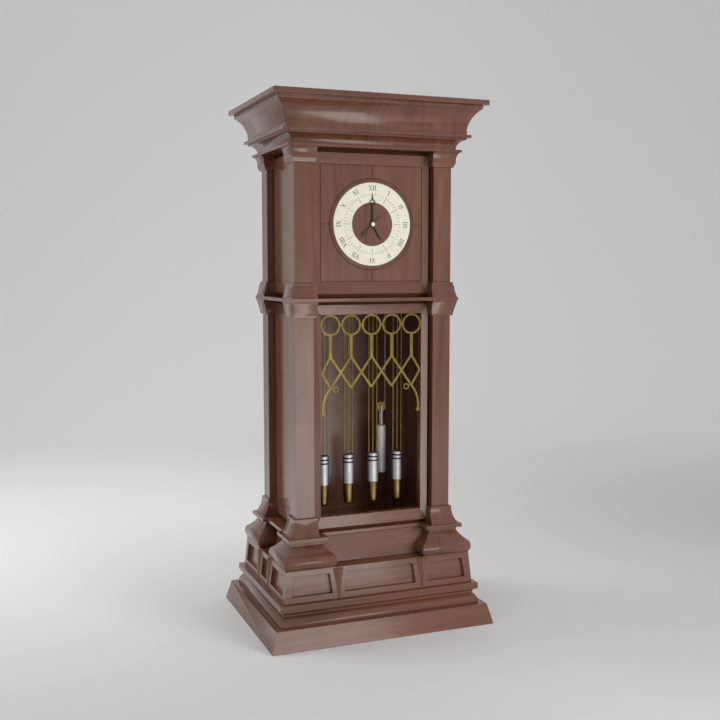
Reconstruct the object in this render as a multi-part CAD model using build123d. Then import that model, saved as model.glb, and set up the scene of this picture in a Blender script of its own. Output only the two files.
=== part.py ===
from build123d import *
import os
from math import acos, cos, pi, radians, sin, tan

# Tall hall clock driven by weights, in millimetres.
# +Z is up and the front faces -Y. The origin is on the floor, at the middle of the footprint.
# Every outline of the case is the rectangle through the four post axes, pushed out by an offset.

# Plan: the rectangle through the post axes
POST_X = 277.0
POST_Y = 173.25
POST_SIDE = 72.0
POST_HALF = POST_SIDE / 2

# Heights of the storeys, from the floor up
PLINTH_HEIGHT = 77.0
MOULDING_HEIGHT = 55.0
SLAB_HEIGHT = 25.0
DIE_HEIGHT = 118.0
PIER_HEIGHT = 96.0
SILL_HEIGHT = 14.5
TRUNK_HEIGHT = 868.5
BELT_HEIGHT = 13.0
HOOD_HEIGHT = 545.0
BED_HEIGHT = 63.0
CROWN_HEIGHT = 106.3
TOP_HEIGHT = 18.7

# Levels that follow from them
MOULDING_FOOT = PLINTH_HEIGHT
SLAB_FOOT = MOULDING_FOOT + MOULDING_HEIGHT
DIE_FOOT = SLAB_FOOT + SLAB_HEIGHT
PIER_FOOT = DIE_FOOT + DIE_HEIGHT
SILL_FOOT = PIER_FOOT + PIER_HEIGHT
TRUNK_FOOT = SILL_FOOT + SILL_HEIGHT
BELT_FOOT = TRUNK_FOOT + TRUNK_HEIGHT
HOOD_FOOT = BELT_FOOT + BELT_HEIGHT
BED_FOOT = HOOD_FOOT + HOOD_HEIGHT
CROWN_FOOT = BED_FOOT + BED_HEIGHT
TOP_FOOT = CROWN_FOOT + CROWN_HEIGHT

# Offsets of the pedestal's faces from the post axes
PLINTH_FOOT_OUT = 170.0
PLINTH_HEAD_OUT = 149.0
PLINTH_THICK = 45.0
SLAB_OUT = 124.0
DIE_FOOT_OUT = 105.0
DIE_HEAD_OUT = 94.5
DIE_THICK = 25.0
DECK_THICK = 12.0
FRIEZE_FOOT_OUT = 36.0
FRIEZE_HEAD_OUT = 13.0
FRIEZE_THICK = 22.0
SILL_FRONT_OUT = 12.0
SILL_SIDE_OUT = 55.0
PIER_CAP_OUT = 76.4
RING_INNER = -60.0
BELT_OUT = 59.0
CROWN_INNER = 0.0
TOP_OUT = 141.2

# Moulding under the plinth slab: an ovolo from its foot to its neck, then a small cove
MOULDING_FOOT_OUT = 125.0
MOULDING_NECK_OUT = 107.0
MOULDING_HEAD_OUT = 114.0
MOULDING_INNER = 85.0
MOULDING_FILLET = 6.0
OVOLO_BELLY = (119.5, 24.0)
NECK_DROP = 18.0
COVE_FOOT_DROP = 15.0
COVE_BELLY = (108.5, 9.0)
COVE_HEAD_DROP = 4.0

# Profiles as (offset, rise) steps, where a pair of steps is the middle and end of an arc
# Bases rise from their foot; capitals are measured down from their head; both stand out from the shaft
LOWER_BASE = [(27.3, 0.0), (26.0, 3.0), ((14.5, 26.0), (8.5, 57.0)), (8.5, 66.0), (0.0, 69.0)]
LOWER_CAPITAL = [(0.0, 58.5), (7.5, 57.5), (8.5, 52.0), ((13.5, 29.0), (20.0, 5.0)), (20.0, 0.0)]
UPPER_BASE = [(20.0, 0.0), (19.0, 5.0), ((14.0, 22.0), (11.5, 40.0)), (8.0, 50.0), (8.0, 56.0), (0.0, 58.5)]
UPPER_CAPITAL = [(0.0, 57.0), (7.0, 54.5), (9.0, 48.0), (13.0, 40.0), (13.5, 31.0)]
UPPER_CAPITAL += [((15.5, 14.0), (22.5, 2.0)), (22.5, 0.0)]
# Bases and capitals stand out less than that towards the bays
BAY_FLARE = 11.0
# The cushion's swell stands out from the head of the die, its neck from the post axis
CUSHION_SWELL = [(0.0, 0.0), ((8.0, 22.0), (2.5, 44.0))]
CUSHION_NECK = [((76.0, 35.0), (61.0, 16.0)), (59.0, 14.0), (59.0, 0.0)]
BED_COVE = [(66.0, 0.0), (66.0, 9.5), (49.0, 9.5)]
BED_COVE_BELLY = (53.5, 29.0)
BED_SHELF = [(72.0, 18.0), (78.3, 18.0), (78.3, 11.0), (92.0, 11.0), (92.0, 0.0)]
CROWN_FOOT_FILLET = [(79.4, 0.0), (79.4, 8.0)]
CROWN_COVE_BELLY = (90.0, 54.0)
CROWN_FASCIA = [(120.0, 14.8), (123.0, 14.8), (123.0, 0.0)]

# Recessed panels and tapered ribs on the pedestal die, measured from the post axis
PANEL_DEPTH = 14.0
PANEL_RISE = 23.0
PANEL_DROP = 21.0
PIER_PANEL_INNER = 83.0
PIER_PANEL_OUTER = 76.0
PANEL_TAPER = 10.0
RIB_INSET = 108.0
RIB_TOP_HALF = 21.0
RIB_TOP_PROUD = 12.0
RIB_FOOT_HALF = 3.0
RIB_FOOT_PROUD = 2.0
RIB_CLEAR = 4.0

# Framed bays between the posts
STILE = 36.0
TRUNK_BOTTOM_RAIL = 57.5
TRUNK_TOP_RAIL = 49.0
HOOD_BOTTOM_RAIL = 60.0
HOOD_TOP_RAIL = 54.0
FRAME_FACE = 5.75
FRAME_CREST = 9.75
CREST_SHARE = 0.75
FRAME_EDGE = -7.25
FRAME_BACK = -23.25
PANEL_THICK = 20.0
BACK_THICK = 15.0
GROOVE_WIDTH = 5.0
GROOVE_DEPTH = 3.0

# Dial
DIAL_BELOW_MIDDLE = 2.5
DRUM_RADIUS = 172.5
DRUM_PROUD = 3.0
RIM_PROUD = 7.0
RIM_WIDTH = 3.0
RING_OUTER_RADIUS = 154.0
RING_GAP = 2.0
RING_INNER_RADIUS = 81.0
RING_THICK = 2.0
DIAL_Z = (HOOD_FOOT + HOOD_BOTTOM_RAIL + BED_FOOT - HOOD_TOP_RAIL) / 2 - DIAL_BELOW_MIDDLE
PANEL_Y = -(POST_Y + FRAME_FACE)
DRUM_Y = PANEL_Y - DRUM_PROUD
RING_Y = DRUM_Y - RING_THICK

# Nested pipes of the hands, radii from the middle out, with a running fit between them
RUNNING_FIT = 0.05
SECONDS_RADIUS = 2.0
CENTRE_PIPE_RADIUS = 4.0
CANNON_PIPE_RADIUS = 5.5
HOUR_PIPE_RADIUS = 7.0
DIAL_HOLE_RADIUS = 8.0

# Hands: lengths from the centre, half widths at the centre and at the neck before the point
HAND_THICK = 1.2
HAND_GAP = 1.2
NECK_SHARE = 0.75
HOUR_LENGTH = 71.0
HOUR_FOOT_HALF = 2.6
HOUR_NECK_HALF = 3.4
HOUR_HUB_RADIUS = 11.0
MINUTE_LENGTH = 117.0
MINUTE_FOOT_HALF = 3.2
MINUTE_NECK_HALF = 2.8
MINUTE_HAND_HUB_RADIUS = 9.5
MINUTE_EYE_AT = 81.0
MINUTE_EYE_RADIUS = 11.0
MINUTE_EYE_HOLE = 7.5
SECONDS_LENGTH = 59.0
SECONDS_TAIL = 66.0
SECONDS_FOOT_HALF = 1.6
SECONDS_NECK_HALF = 1.2
TAIL_HALF = 8.0
TAIL_NECK_SHARE = 0.6
TAIL_NOTCH_SHARE = 0.8
SECONDS_HUB_RADIUS = 6.5
CAP_RADIUS = 8.0
CAP_THICK = 2.5
CAP_ROUND = 1.8
HOUR_ANGLE = 150.0
MINUTE_ANGLE = 0.0
SECONDS_ANGLE = 45.0

# Movement plates
PLATE_THICK = 4.0
PLATE_HALF = 80.0
PLATE_BELOW_DIAL = 104.0
PLATE_ABOVE_DIAL = 82.0
PILLAR_RADIUS = 6.0
PILLAR_INSET = 10.0
PILLAR_RIM = 12.0
SEATBOARD_THICK = 20.0
SEATBOARD_TOP = DIAL_Z - PLATE_BELOW_DIAL
SEATBOARD_FOOT = SEATBOARD_TOP - SEATBOARD_THICK
SEATBOARD_CLEAR = 0.5
SEATBOARD_SET_BACK = 7.25
SEATBOARD_DEPTH = 200.0
SEATBOARD_FRONT_Y = SEATBOARD_SET_BACK - (POST_Y - POST_HALF)
CLEAT_SIDE = 20.0
CLEAT_WIDTH = 30.0
CLEAT_END_GAP = 16.25

# Toothed wheels
PRESSURE_ANGLE = radians(20)
ADDENDUM = 0.8
DEDENDUM = 1.15
TOOTH_SHARE = 0.8
MOTION_MODULE = 1.0
CANNON_TEETH = 20
MINUTE_WHEEL_TEETH = 60
MINUTE_PINION_TEETH = 16
HOUR_WHEEL_TEETH = 64
CENTRE_TEETH = 64
THIRD_PINION_TEETH = 8
THIRD_TEETH = 60
SECONDS_PINION_TEETH = 8
CENTRE_MODULE = 1.0
GREAT_TEETH = 80
CENTRE_PINION_TEETH = 10
GREAT_MODULE = 1.1
WHEEL_THICK = 3.0
PINION_THICK = 7.0
ESCAPE_TEETH = 60
ESCAPE_RADIUS = 30.0
ESCAPE_TOOTH = 2.4
ESCAPE_RAKE = 0.35
ARBOR_RADIUS = 2.0
GREAT_ARBOR_RADIUS = 4.0
MINUTE_STUD_RADIUS = 2.5
MINUTE_HUB_RADIUS = 5.0

# Layers of the movement, counted back from the dial panel to each front face
HOUR_WHEEL_BEHIND = 9.0
MINUTE_WHEEL_BEHIND = 20.0
FRONT_PLATE_BEHIND = 38.0
GREAT_WHEEL_BEHIND = 48.0
CENTRE_WHEEL_BEHIND = 59.0
THIRD_WHEEL_BEHIND = 75.0
ESCAPE_BEHIND = 93.0
BACK_PLATE_BEHIND = 118.0
PENDULUM_BEHIND = 148.0
MOVEMENT_Y = PANEL_Y + PANEL_THICK
HOUR_WHEEL_Y = MOVEMENT_Y + HOUR_WHEEL_BEHIND
MINUTE_WHEEL_Y = MOVEMENT_Y + MINUTE_WHEEL_BEHIND
PLATE_FRONT = MOVEMENT_Y + FRONT_PLATE_BEHIND
FRONT_PLATE_BACK = PLATE_FRONT + PLATE_THICK
GREAT_WHEEL_Y = MOVEMENT_Y + GREAT_WHEEL_BEHIND
CENTRE_WHEEL_Y = MOVEMENT_Y + CENTRE_WHEEL_BEHIND
THIRD_WHEEL_Y = MOVEMENT_Y + THIRD_WHEEL_BEHIND
ESCAPE_Y = MOVEMENT_Y + ESCAPE_BEHIND
BACK_PLATE_Y = MOVEMENT_Y + BACK_PLATE_BEHIND
PLATE_BACK = BACK_PLATE_Y + PLATE_THICK

# Pendulum and anchor, which swing about one axis above the dial centre
SWING_ABOVE_DIAL = 36.0
SWING_Z = DIAL_Z + SWING_ABOVE_DIAL
PENDULUM_LENGTH = 248.0
PENDULUM_Y = MOVEMENT_Y + PENDULUM_BEHIND
ROD_HALF = 3.0
BOB_RADIUS = 38.0
BOB_THICK = 16.0
BOB_ROUND = BOB_THICK / 3
NUT_RADIUS = 7.0
NUT_THICK = 9.0
SPRING_THICK = 0.6
SPRING_HALF = 4.0
SPRING_LENGTH = 18.0
COCK_ABOVE_SWING = 10.0
COCK_GAP = 0.5
COCK_HALF = 12.0
COCK_HEIGHT = 10.0
FORK_GAP = 0.4
FORK_PRONG = 3.0
FORK_BELOW_SWING = 70.0
FORK_HEIGHT = 6.0
CRUTCH_THICK = 3.0
PALLET_ANGLE = radians(30)
PALLET_CLEAR = 1.5
ANCHOR_ARM = 4.0
ANCHOR_HUB_RADIUS = 5.0
SLOT_HALF = 55.0
SLOT_BEFORE_PENDULUM = 19.0
SLOT_BEHIND_PENDULUM = 21.0

# Fret in the head of the trunk opening
FRET_SET_BACK = 0.5
FRET_Y = FRET_SET_BACK - (POST_Y + FRAME_FACE)
FRET_THICK = 3.0
FRET_RINGS = 5
FRET_CLEAR = 0.2
FRET_RING_GAP = 3.2
FRET_LINK = 7.0
FRET_RING_BAR = 7.5
FRET_BAR = 12.0
FRET_LATTICE = 8.5
FRET_BAR_DROP = 158.5
FRET_CROSS_DROP = 217.5
FRET_NODE_DROP = 275.5
FRET_BALL_DROP = 371.0
FRET_SCROLL_BEND = 2.6
FRET_BALL_RADIUS = 8.0
FRET_BALL_INSET = 11.4
FRET_CURL_RADIUS = 12.0
FRET_CURL_BAR = 5.0
FRET_CURL_INSET = 21.0

# Four weights, each on three lines
WEIGHT_COUNT = 4
WEIGHT_MARGIN = 49.9
WEIGHT_BEHIND_EDGE = 65.0
WEIGHT_Y = SEATBOARD_FRONT_Y + WEIGHT_BEHIND_EDGE
WEIGHT_RADIUS = 22.0
WEIGHT_ABOVE_SILL = 73.5
WEIGHT_FOOT = TRUNK_FOOT + WEIGHT_ABOVE_SILL
WEIGHT_TIP_HEIGHT = 81.0
WEIGHT_BODY_HEIGHT = 114.0
TIP_END_RADIUS = 18.5
TIP_HEAD_RADIUS = 21.0
TIP_ROUND = 9.0
LINE_RADIUS = 2.5
LINE_PITCH = 17.0
LINE_COUNT = 3
WEIGHT_EDGE = 1.5

# Drive weight hanging in the bight of a line
DRIVE_MARGIN = 77.1
DRIVE_BEHIND_EDGE = 165.0
DRIVE_Y = SEATBOARD_FRONT_Y + DRIVE_BEHIND_EDGE
DRIVE_RADIUS = 20.0
DRIVE_ABOVE_SILL = 166.5
DRIVE_FOOT = TRUNK_FOOT + DRIVE_ABOVE_SILL
DRIVE_HEIGHT = 192.0
SHEAVE_ABOVE_WEIGHT = 75.0
SHEAVE_RADIUS = 20.0
SHEAVE_ROOT = 15.6
SHEAVE_THICK = 7.0
SHEAVE_GAP = 0.4
AXLE_RADIUS = 3.0
STIRRUP_RADIUS = 4.0
DRIVE_LINE_RADIUS = 1.5

# Chamfer on exposed edges
EDGE = 2.0


# Shapes shared by the pieces

def block(low, high):
    """Box between two opposite corners."""
    size = [b - a for a, b in zip(low, high)]
    middle = [(a + b) / 2 for a, b in zip(low, high)]
    return Pos(*middle) * Box(*size)


def path(start, steps):
    """Edges from start; a step is a point, or an arc given as its middle and end points."""
    edges = []
    here = start
    for step in steps:
        if isinstance(step[0], tuple):
            edges.append(ThreePointArc(here, *step))
            here = step[1]
        else:
            edges.append(Line(here, step))
            here = step
    return edges


def upright(outline, back_y, thick, x=0.0, z=0.0):
    """Plate drawn in the front view, from back_y towards the front."""
    plane = Plane(origin=(x, back_y, z), x_dir=(1, 0, 0), z_dir=(0, -1, 0))
    return extrude(plane * outline, amount=thick, dir=(0, -1, 0))


def rod(x, z, front_y, back_y, radius):
    """Round bar from front to back."""
    return upright(Circle(radius), back_y, back_y - front_y, x, z)


def prism(points, foot, height):
    """Upright prism over a plan."""
    plan = make_face(Polyline(*points, close=True))
    return extrude(Plane.XY.offset(foot) * plan, amount=height, dir=(0, 0, 1))


def mitred_length(outline, foot, height, inner, along, across):
    """Front run of a moulding, mitred at both ends; outline holds (offset, height) steps."""
    reach = max(x for step in outline for x, _ in (step if isinstance(step[0], tuple) else (step,)))
    plane = Plane(origin=(0, -across, foot), x_dir=(0, -1, 0), z_dir=(-1, 0, 0))
    section = make_face(path((inner, 0.0), [*outline, (inner, height), (inner, 0.0)]))
    run = extrude(plane * section, amount=along + reach, both=True)
    corners = [(along + reach, -across - reach), (along + inner, -across - inner)]
    plan = corners + [(-x, y) for x, y in reversed(corners)]
    return run & prism(plan, foot, height)


def four_sides(front, side):
    """A front run and a side run, repeated at the back and on the other side."""
    turns = ((front, 0), (side, 90), (front, 180), (side, -90))
    return [Rot(0, 0, angle) * run for run, angle in turns]


def moulding(outline, foot, height, inner):
    """Moulding round the whole case, in four mitred lengths."""
    front = mitred_length(outline, foot, height, inner, POST_X, POST_Y)
    side = mitred_length(outline, foot, height, inner, POST_Y, POST_X)
    return four_sides(front, side)


def square_turning(steps, foot, head):
    """Square timber moulded alike on its four faces; steps hold (half width, level)."""
    half = make_face(path((0.0, foot), [*steps, (0.0, head), (0.0, foot)]))
    outline = half + mirror(half, about=Plane.YZ)
    reach = outline.bounding_box().max.X
    run = extrude(Plane.XZ * outline, amount=reach, both=True)
    return run & (Rot(0, 0, 90) * run)


def placed(steps, out, level, way=1):
    """Profile steps moved out and to a level; way is -1 for a profile measured down from its head."""
    moved = []
    for step in steps:
        if isinstance(step[0], tuple):
            moved.append(tuple(placed(step, out, level, way)))
        else:
            moved.append((out + step[0], level + way * step[1]))
    return moved


def at_posts(piece):
    """Copies of a piece on the four post axes."""
    return [Pos(x, y, 0) * piece for x in (-POST_X, POST_X) for y in (-POST_Y, POST_Y)]


def rectangle_plan(out_x, out_y):
    """Corners of the post rectangle pushed out."""
    x = POST_X + out_x
    y = POST_Y + out_y
    return [(-x, -y), (x, -y), (x, y), (-x, y)]


def plate(out, foot, height):
    """Board over the post rectangle pushed out."""
    return prism(rectangle_plan(out, out), foot, height)


# Pedestal

def base_plinth():
    outline = [(PLINTH_FOOT_OUT, 0.0), (PLINTH_HEAD_OUT, PLINTH_HEIGHT)]
    return moulding(outline, 0.0, PLINTH_HEIGHT, PLINTH_FOOT_OUT - PLINTH_THICK)


def base_moulding():
    """Ovolo and small cove between the plinth and its slab."""
    ovolo = [(MOULDING_FOOT_OUT, 0.0), (MOULDING_FOOT_OUT, MOULDING_FILLET)]
    cove = [(MOULDING_NECK_OUT, COVE_FOOT_DROP), (COVE_BELLY, (MOULDING_HEAD_OUT, COVE_HEAD_DROP))]
    cove.append((MOULDING_HEAD_OUT, 0.0))
    neck = (MOULDING_NECK_OUT, MOULDING_HEIGHT - NECK_DROP)
    outline = ovolo + [(OVOLO_BELLY, neck)] + placed(cove, 0.0, MOULDING_HEIGHT, -1)
    return moulding(outline, MOULDING_FOOT, MOULDING_HEIGHT, MOULDING_INNER)


def plinth_slab():
    slab = plate(SLAB_OUT, SLAB_FOOT, SLAB_HEIGHT)
    top_edges = slab.faces().sort_by(Axis.Z)[-1].edges()
    return [chamfer(top_edges, EDGE)]


def die_out(level):
    """Offset of the leaning die face at a level."""
    share = (level - DIE_FOOT) / DIE_HEIGHT
    return DIE_FOOT_OUT + share * (DIE_HEAD_OUT - DIE_FOOT_OUT)


def die_panels(along):
    """Foot and head limits of the three recessed panels of one side."""
    inner = along - PIER_PANEL_INNER
    outer = along + PIER_PANEL_OUTER
    middle = 2 * (along - RIB_INSET) - inner
    limits = [(-outer, -inner), (-middle, middle), (inner, outer)]
    return [((a, b), (a + PANEL_TAPER, b - PANEL_TAPER)) for a, b in limits]


def die_length(along, across):
    """One leaning board of the die with its recessed panels."""
    outline = [(DIE_FOOT_OUT, 0.0), (DIE_HEAD_OUT, DIE_HEIGHT)]
    inner = DIE_HEAD_OUT - DIE_THICK
    board = mitred_length(outline, DIE_FOOT, DIE_HEIGHT, inner, along, across)
    low = DIE_FOOT + PANEL_RISE
    high = PIER_FOOT - PANEL_DROP
    front = across + DIE_FOOT_OUT + EDGE
    section = [(-front, low), (-front, high)]
    section += [(-(across + die_out(z) - PANEL_DEPTH), z) for z in (high, low)]
    hollow = extrude(Plane.YZ * make_face(Polyline(*section, close=True)), amount=along + across, both=True)
    for (foot_a, foot_b), (head_a, head_b) in die_panels(along):
        face = make_face(Polyline((foot_a, low), (foot_b, low), (head_b, high), (head_a, high), close=True))
        board -= hollow & upright(face, 0.0, front)
    return board


def pedestal_die():
    return four_sides(die_length(POST_X, POST_Y), die_length(POST_Y, POST_X))


def rib(x, across):
    """Inverted arris rib, widest at its head and running out to a point at its foot."""
    sections = []
    levels = ((DIE_FOOT + RIB_CLEAR, RIB_FOOT_HALF, RIB_FOOT_PROUD),
              (PIER_FOOT - RIB_CLEAR, RIB_TOP_HALF, RIB_TOP_PROUD))
    for level, half, proud in levels:
        y = -(across + die_out(level))
        corners = ((x - half, y, level), (x + half, y, level), (x, y - proud, level))
        sections.append(make_face(Polyline(*corners, close=True)))
    return loft(sections, ruled=True)


def pedestal_ribs():
    ribs = []
    for along, across, turns in ((POST_X, POST_Y, (0, 180)), (POST_Y, POST_X, (90, -90))):
        pair = [rib(side * (along - RIB_INSET), across) for side in (-1, 1)]
        ribs += [Rot(0, 0, angle) * one for angle in turns for one in pair]
    return ribs


def pedestal_deck():
    return [plate(DIE_HEAD_OUT - DIE_THICK, PIER_FOOT - DECK_THICK, DECK_THICK)]


def frieze_core():
    """Space inside the outer faces of the frieze, which the piers are scribed round."""
    sections = []
    for level, out in ((PIER_FOOT, FRIEZE_FOOT_OUT), (SILL_FOOT, FRIEZE_HEAD_OUT)):
        plan = make_face(Polyline(*rectangle_plan(out, out), close=True))
        sections.append(Plane.XY.offset(level) * plan)
    return loft(sections, ruled=True)


def frieze_boards():
    outline = [(FRIEZE_FOOT_OUT, 0.0), (FRIEZE_HEAD_OUT, PIER_HEIGHT)]
    return moulding(outline, PIER_FOOT, PIER_HEIGHT, FRIEZE_HEAD_OUT - FRIEZE_THICK)


def pier_cushions():
    """Four-sided ogee blocks under the posts, scribed round the frieze."""
    steps = placed(CUSHION_SWELL, DIE_HEAD_OUT, PIER_FOOT) + placed(CUSHION_NECK, 0.0, SILL_FOOT, -1)
    block_shape = square_turning(steps, PIER_FOOT, SILL_FOOT)
    core = frieze_core()
    return [cushion - core for cushion in at_posts(block_shape)]


def sill_plate():
    """Trunk floor, with a square cap over each pier."""
    floor = prism(rectangle_plan(SILL_SIDE_OUT, SILL_FRONT_OUT), SILL_FOOT, SILL_HEIGHT)
    cap = Pos(0, 0, SILL_FOOT + SILL_HEIGHT / 2) * Box(2 * PIER_CAP_OUT, 2 * PIER_CAP_OUT, SILL_HEIGHT)
    for one in at_posts(cap):
        floor += one
    return [floor]


# Posts

def corner_posts(steps, foot, head):
    """Four moulded posts, each cut back on its two sides that face the bays."""
    whole = square_turning(steps, foot, head)
    bay = -(POST_HALF + BAY_FLARE)
    reach = whole.bounding_box().max.X
    post = whole & block((bay, bay, foot), (reach, reach, head))
    corners = ((POST_X, POST_Y, 0), (-POST_X, POST_Y, 90), (-POST_X, -POST_Y, 180), (POST_X, -POST_Y, 270))
    return [Pos(x, y, 0) * Rot(0, 0, turn) * post for x, y, turn in corners]


def lower_corner_posts():
    """Square posts of the trunk with flared bases and capitals."""
    steps = placed(LOWER_BASE, POST_HALF, TRUNK_FOOT) + placed(LOWER_CAPITAL, POST_HALF, BELT_FOOT, -1)
    return corner_posts(steps, TRUNK_FOOT, BELT_FOOT)


def upper_corner_posts():
    """Square posts of the hood."""
    steps = placed(UPPER_BASE, POST_HALF, HOOD_FOOT) + placed(UPPER_CAPITAL, POST_HALF, BED_FOOT, -1)
    return corner_posts(steps, HOOD_FOOT, BED_FOOT)


# Belt, cornice and top

def belt_slab():
    outline = [(BELT_OUT, 0.0), (BELT_OUT, BELT_HEIGHT)]
    return moulding(outline, BELT_FOOT, BELT_HEIGHT, RING_INNER)


def cornice_bed():
    """Lip, cove, fillet and shelf under the crown."""
    head = placed(BED_SHELF, 0.0, BED_HEIGHT, -1)
    outline = BED_COVE + [(BED_COVE_BELLY, head[0])] + head[1:]
    return moulding(outline, BED_FOOT, BED_HEIGHT, RING_INNER)


def cornice_crown():
    """Great cove and its fascia."""
    head = placed(CROWN_FASCIA, 0.0, CROWN_HEIGHT, -1)
    outline = CROWN_FOOT_FILLET + [(CROWN_COVE_BELLY, head[0])] + head[1:]
    return moulding(outline, CROWN_FOOT, CROWN_HEIGHT, CROWN_INNER)


def top_board():
    board = plate(TOP_OUT, TOP_FOOT, TOP_HEIGHT)
    return [chamfer(board.faces().sort_by(Axis.Z)[-1].edges(), EDGE)]


# Framed bays

class Bay:
    """Opening between two posts, seen as a front bay; out is the distance of the post axes."""

    def __init__(self, along, out, low, high, bottom_rail, top_rail):
        self.half_span = along - POST_HALF
        self.half_open = self.half_span - STILE
        self.out = out
        self.low = low
        self.high = high
        self.sill = low + bottom_rail
        self.head = high - top_rail

    def rectangle(self, half, low, high, offset):
        y = -(self.out + offset)
        corners = ((-half, y, low), (half, y, low), (half, y, high), (-half, y, high))
        return make_face(Polyline(*corners, close=True))

    def frame(self):
        """Four mitred lengths whose faces rise from the opening to a crest and fall to the posts."""
        opening = self.rectangle(self.half_open, self.sill, self.head, FRAME_FACE)
        crest_half = self.half_open + CREST_SHARE * STILE
        crest_low = self.sill - CREST_SHARE * (self.sill - self.low)
        crest_high = self.head + CREST_SHARE * (self.high - self.head)
        crest = self.rectangle(crest_half, crest_low, crest_high, FRAME_CREST)
        edge = self.rectangle(self.half_span, self.low, self.high, FRAME_EDGE)
        edge_y = -(self.out + FRAME_EDGE)
        back_y = -(self.out + FRAME_BACK)
        body = loft([crest, edge], ruled=True) - loft([crest, opening], ruled=True)
        body += block((-self.half_span, edge_y, self.low), (self.half_span, back_y, self.high))
        before_y = -self.out - 2 * FRAME_CREST
        body -= block((-self.half_open, before_y, self.sill), (self.half_open, 0.0, self.head))
        inner = [(self.half_open, self.sill), (self.half_open, self.head)]
        outer = [(self.half_span, self.high), (self.half_span, self.low)]
        right = inner + outer
        left = [(-x, z) for x, z in right]
        bottom = [(-self.half_open, self.sill), inner[0], outer[1], (-self.half_span, self.low)]
        top = [(-self.half_open, self.head), inner[1], outer[0], (-self.half_span, self.high)]
        faces = [make_face(Polyline(*points, close=True)) for points in (right, left, bottom, top)]
        return [body & upright(face, 0.0, 2 * self.out) for face in faces]

    def panel(self):
        """Board that fills the opening."""
        face = -(self.out + FRAME_FACE)
        return block((-self.half_open, face, self.sill), (self.half_open, face + PANEL_THICK, self.head))


TRUNK_RAILS = (TRUNK_FOOT, BELT_FOOT, TRUNK_BOTTOM_RAIL, TRUNK_TOP_RAIL)
HOOD_RAILS = (HOOD_FOOT, BED_FOOT, HOOD_BOTTOM_RAIL, HOOD_TOP_RAIL)
TRUNK_FRONT = Bay(POST_X, POST_Y, *TRUNK_RAILS)
TRUNK_SIDE = Bay(POST_Y, POST_X, *TRUNK_RAILS)
HOOD_FRONT = Bay(POST_X, POST_Y, *HOOD_RAILS)
HOOD_SIDE = Bay(POST_Y, POST_X, *HOOD_RAILS)


def scribed(pieces, posts):
    """Pieces cut to fit round the post bases and capitals."""
    for post in posts:
        pieces = [piece - post for piece in pieces]
    return pieces


def both_sides(pieces):
    """Front-bay pieces turned to the left and right sides."""
    return [Rot(0, 0, angle) * piece for angle in (-90, 90) for piece in pieces]


def back_board(bay, posts):
    """Plain board behind the case, between the rear posts."""
    back = bay.out + FRAME_EDGE
    board = block((-bay.half_span, back - BACK_THICK, bay.low), (bay.half_span, back, bay.high))
    return scribed([board], posts)


# Dial

def dial_panel():
    """Hood panel with a groove along its edges and from the drum to each side of the frame."""
    panel = HOOD_FRONT.panel()
    floor_y = PANEL_Y + GROOVE_DEPTH
    half = GROOVE_WIDTH / 2
    wide = HOOD_FRONT.half_open
    low = HOOD_FRONT.sill
    high = HOOD_FRONT.head
    edges = block((-wide, PANEL_Y, low), (wide, floor_y, high))
    edges -= block((half - wide, PANEL_Y, low + half), (wide - half, floor_y, high - half))
    panel -= edges
    panel -= block((-half, PANEL_Y, low), (half, floor_y, high))
    panel -= block((-wide, PANEL_Y, DIAL_Z - half), (wide, floor_y, DIAL_Z + half))
    return [panel - rod(0, DIAL_Z, PANEL_Y, PANEL_Y + PANEL_THICK, DIAL_HOLE_RADIUS)]


def dial_drum():
    """Turned disc whose sloped rim stands round the bed of the chapter ring."""
    rim_y = PANEL_Y - RIM_PROUD
    rim_inner = RING_OUTER_RADIUS + RING_GAP
    rim_outer = rim_inner + RIM_WIDTH
    outline = [(DIAL_HOLE_RADIUS, PANEL_Y), (DRUM_RADIUS, PANEL_Y), (rim_outer, rim_y), (rim_inner, rim_y)]
    outline += [(rim_inner, DRUM_Y), (DIAL_HOLE_RADIUS, DRUM_Y)]
    return [Pos(0, 0, DIAL_Z) * revolve(make_face(Polyline(*outline, close=True)), Axis.Y)]


def chapter_ring():
    return [upright(Circle(RING_OUTER_RADIUS) - Circle(RING_INNER_RADIUS), DRUM_Y, RING_THICK, 0, DIAL_Z)]


# Toothed wheels

def polar(radius, angle):
    return (radius * cos(angle), radius * sin(angle))


def involute(angle):
    return tan(angle) - angle


def gear(teeth, module, phase):
    """Gear outline with thinned involute teeth, one of them centred on the phase angle."""
    pitch = module * teeth / 2
    base = pitch * cos(PRESSURE_ANGLE)
    half_at_pitch = pi / (2 * teeth) * TOOTH_SHARE + involute(PRESSURE_ANGLE)
    radii = (pitch - DEDENDUM * module, pitch, pitch + ADDENDUM * module)
    flank = [(r, half_at_pitch - involute(acos(min(1.0, base / r)))) for r in radii]
    points = []
    for tooth in range(teeth):
        middle = phase + 2 * pi * tooth / teeth
        points += [polar(r, middle - half) for r, half in flank]
        points += [polar(r, middle + half) for r, half in reversed(flank)]
    return make_face(Polyline(*points, close=True))


def facing(teeth, direction):
    """Phase that puts a gap opposite the tooth of the wheel that it meshes with."""
    return direction + pi + pi / teeth


def escape_outline():
    """Escape wheel outline with raked pointed teeth."""
    root = ESCAPE_RADIUS - ESCAPE_TOOTH
    step = 2 * pi / ESCAPE_TEETH
    points = []
    for tooth in range(ESCAPE_TEETH):
        points.append(polar(root, step * tooth))
        points.append(polar(ESCAPE_RADIUS, step * (tooth + ESCAPE_RAKE)))
    return make_face(Polyline(*points, close=True))


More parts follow.
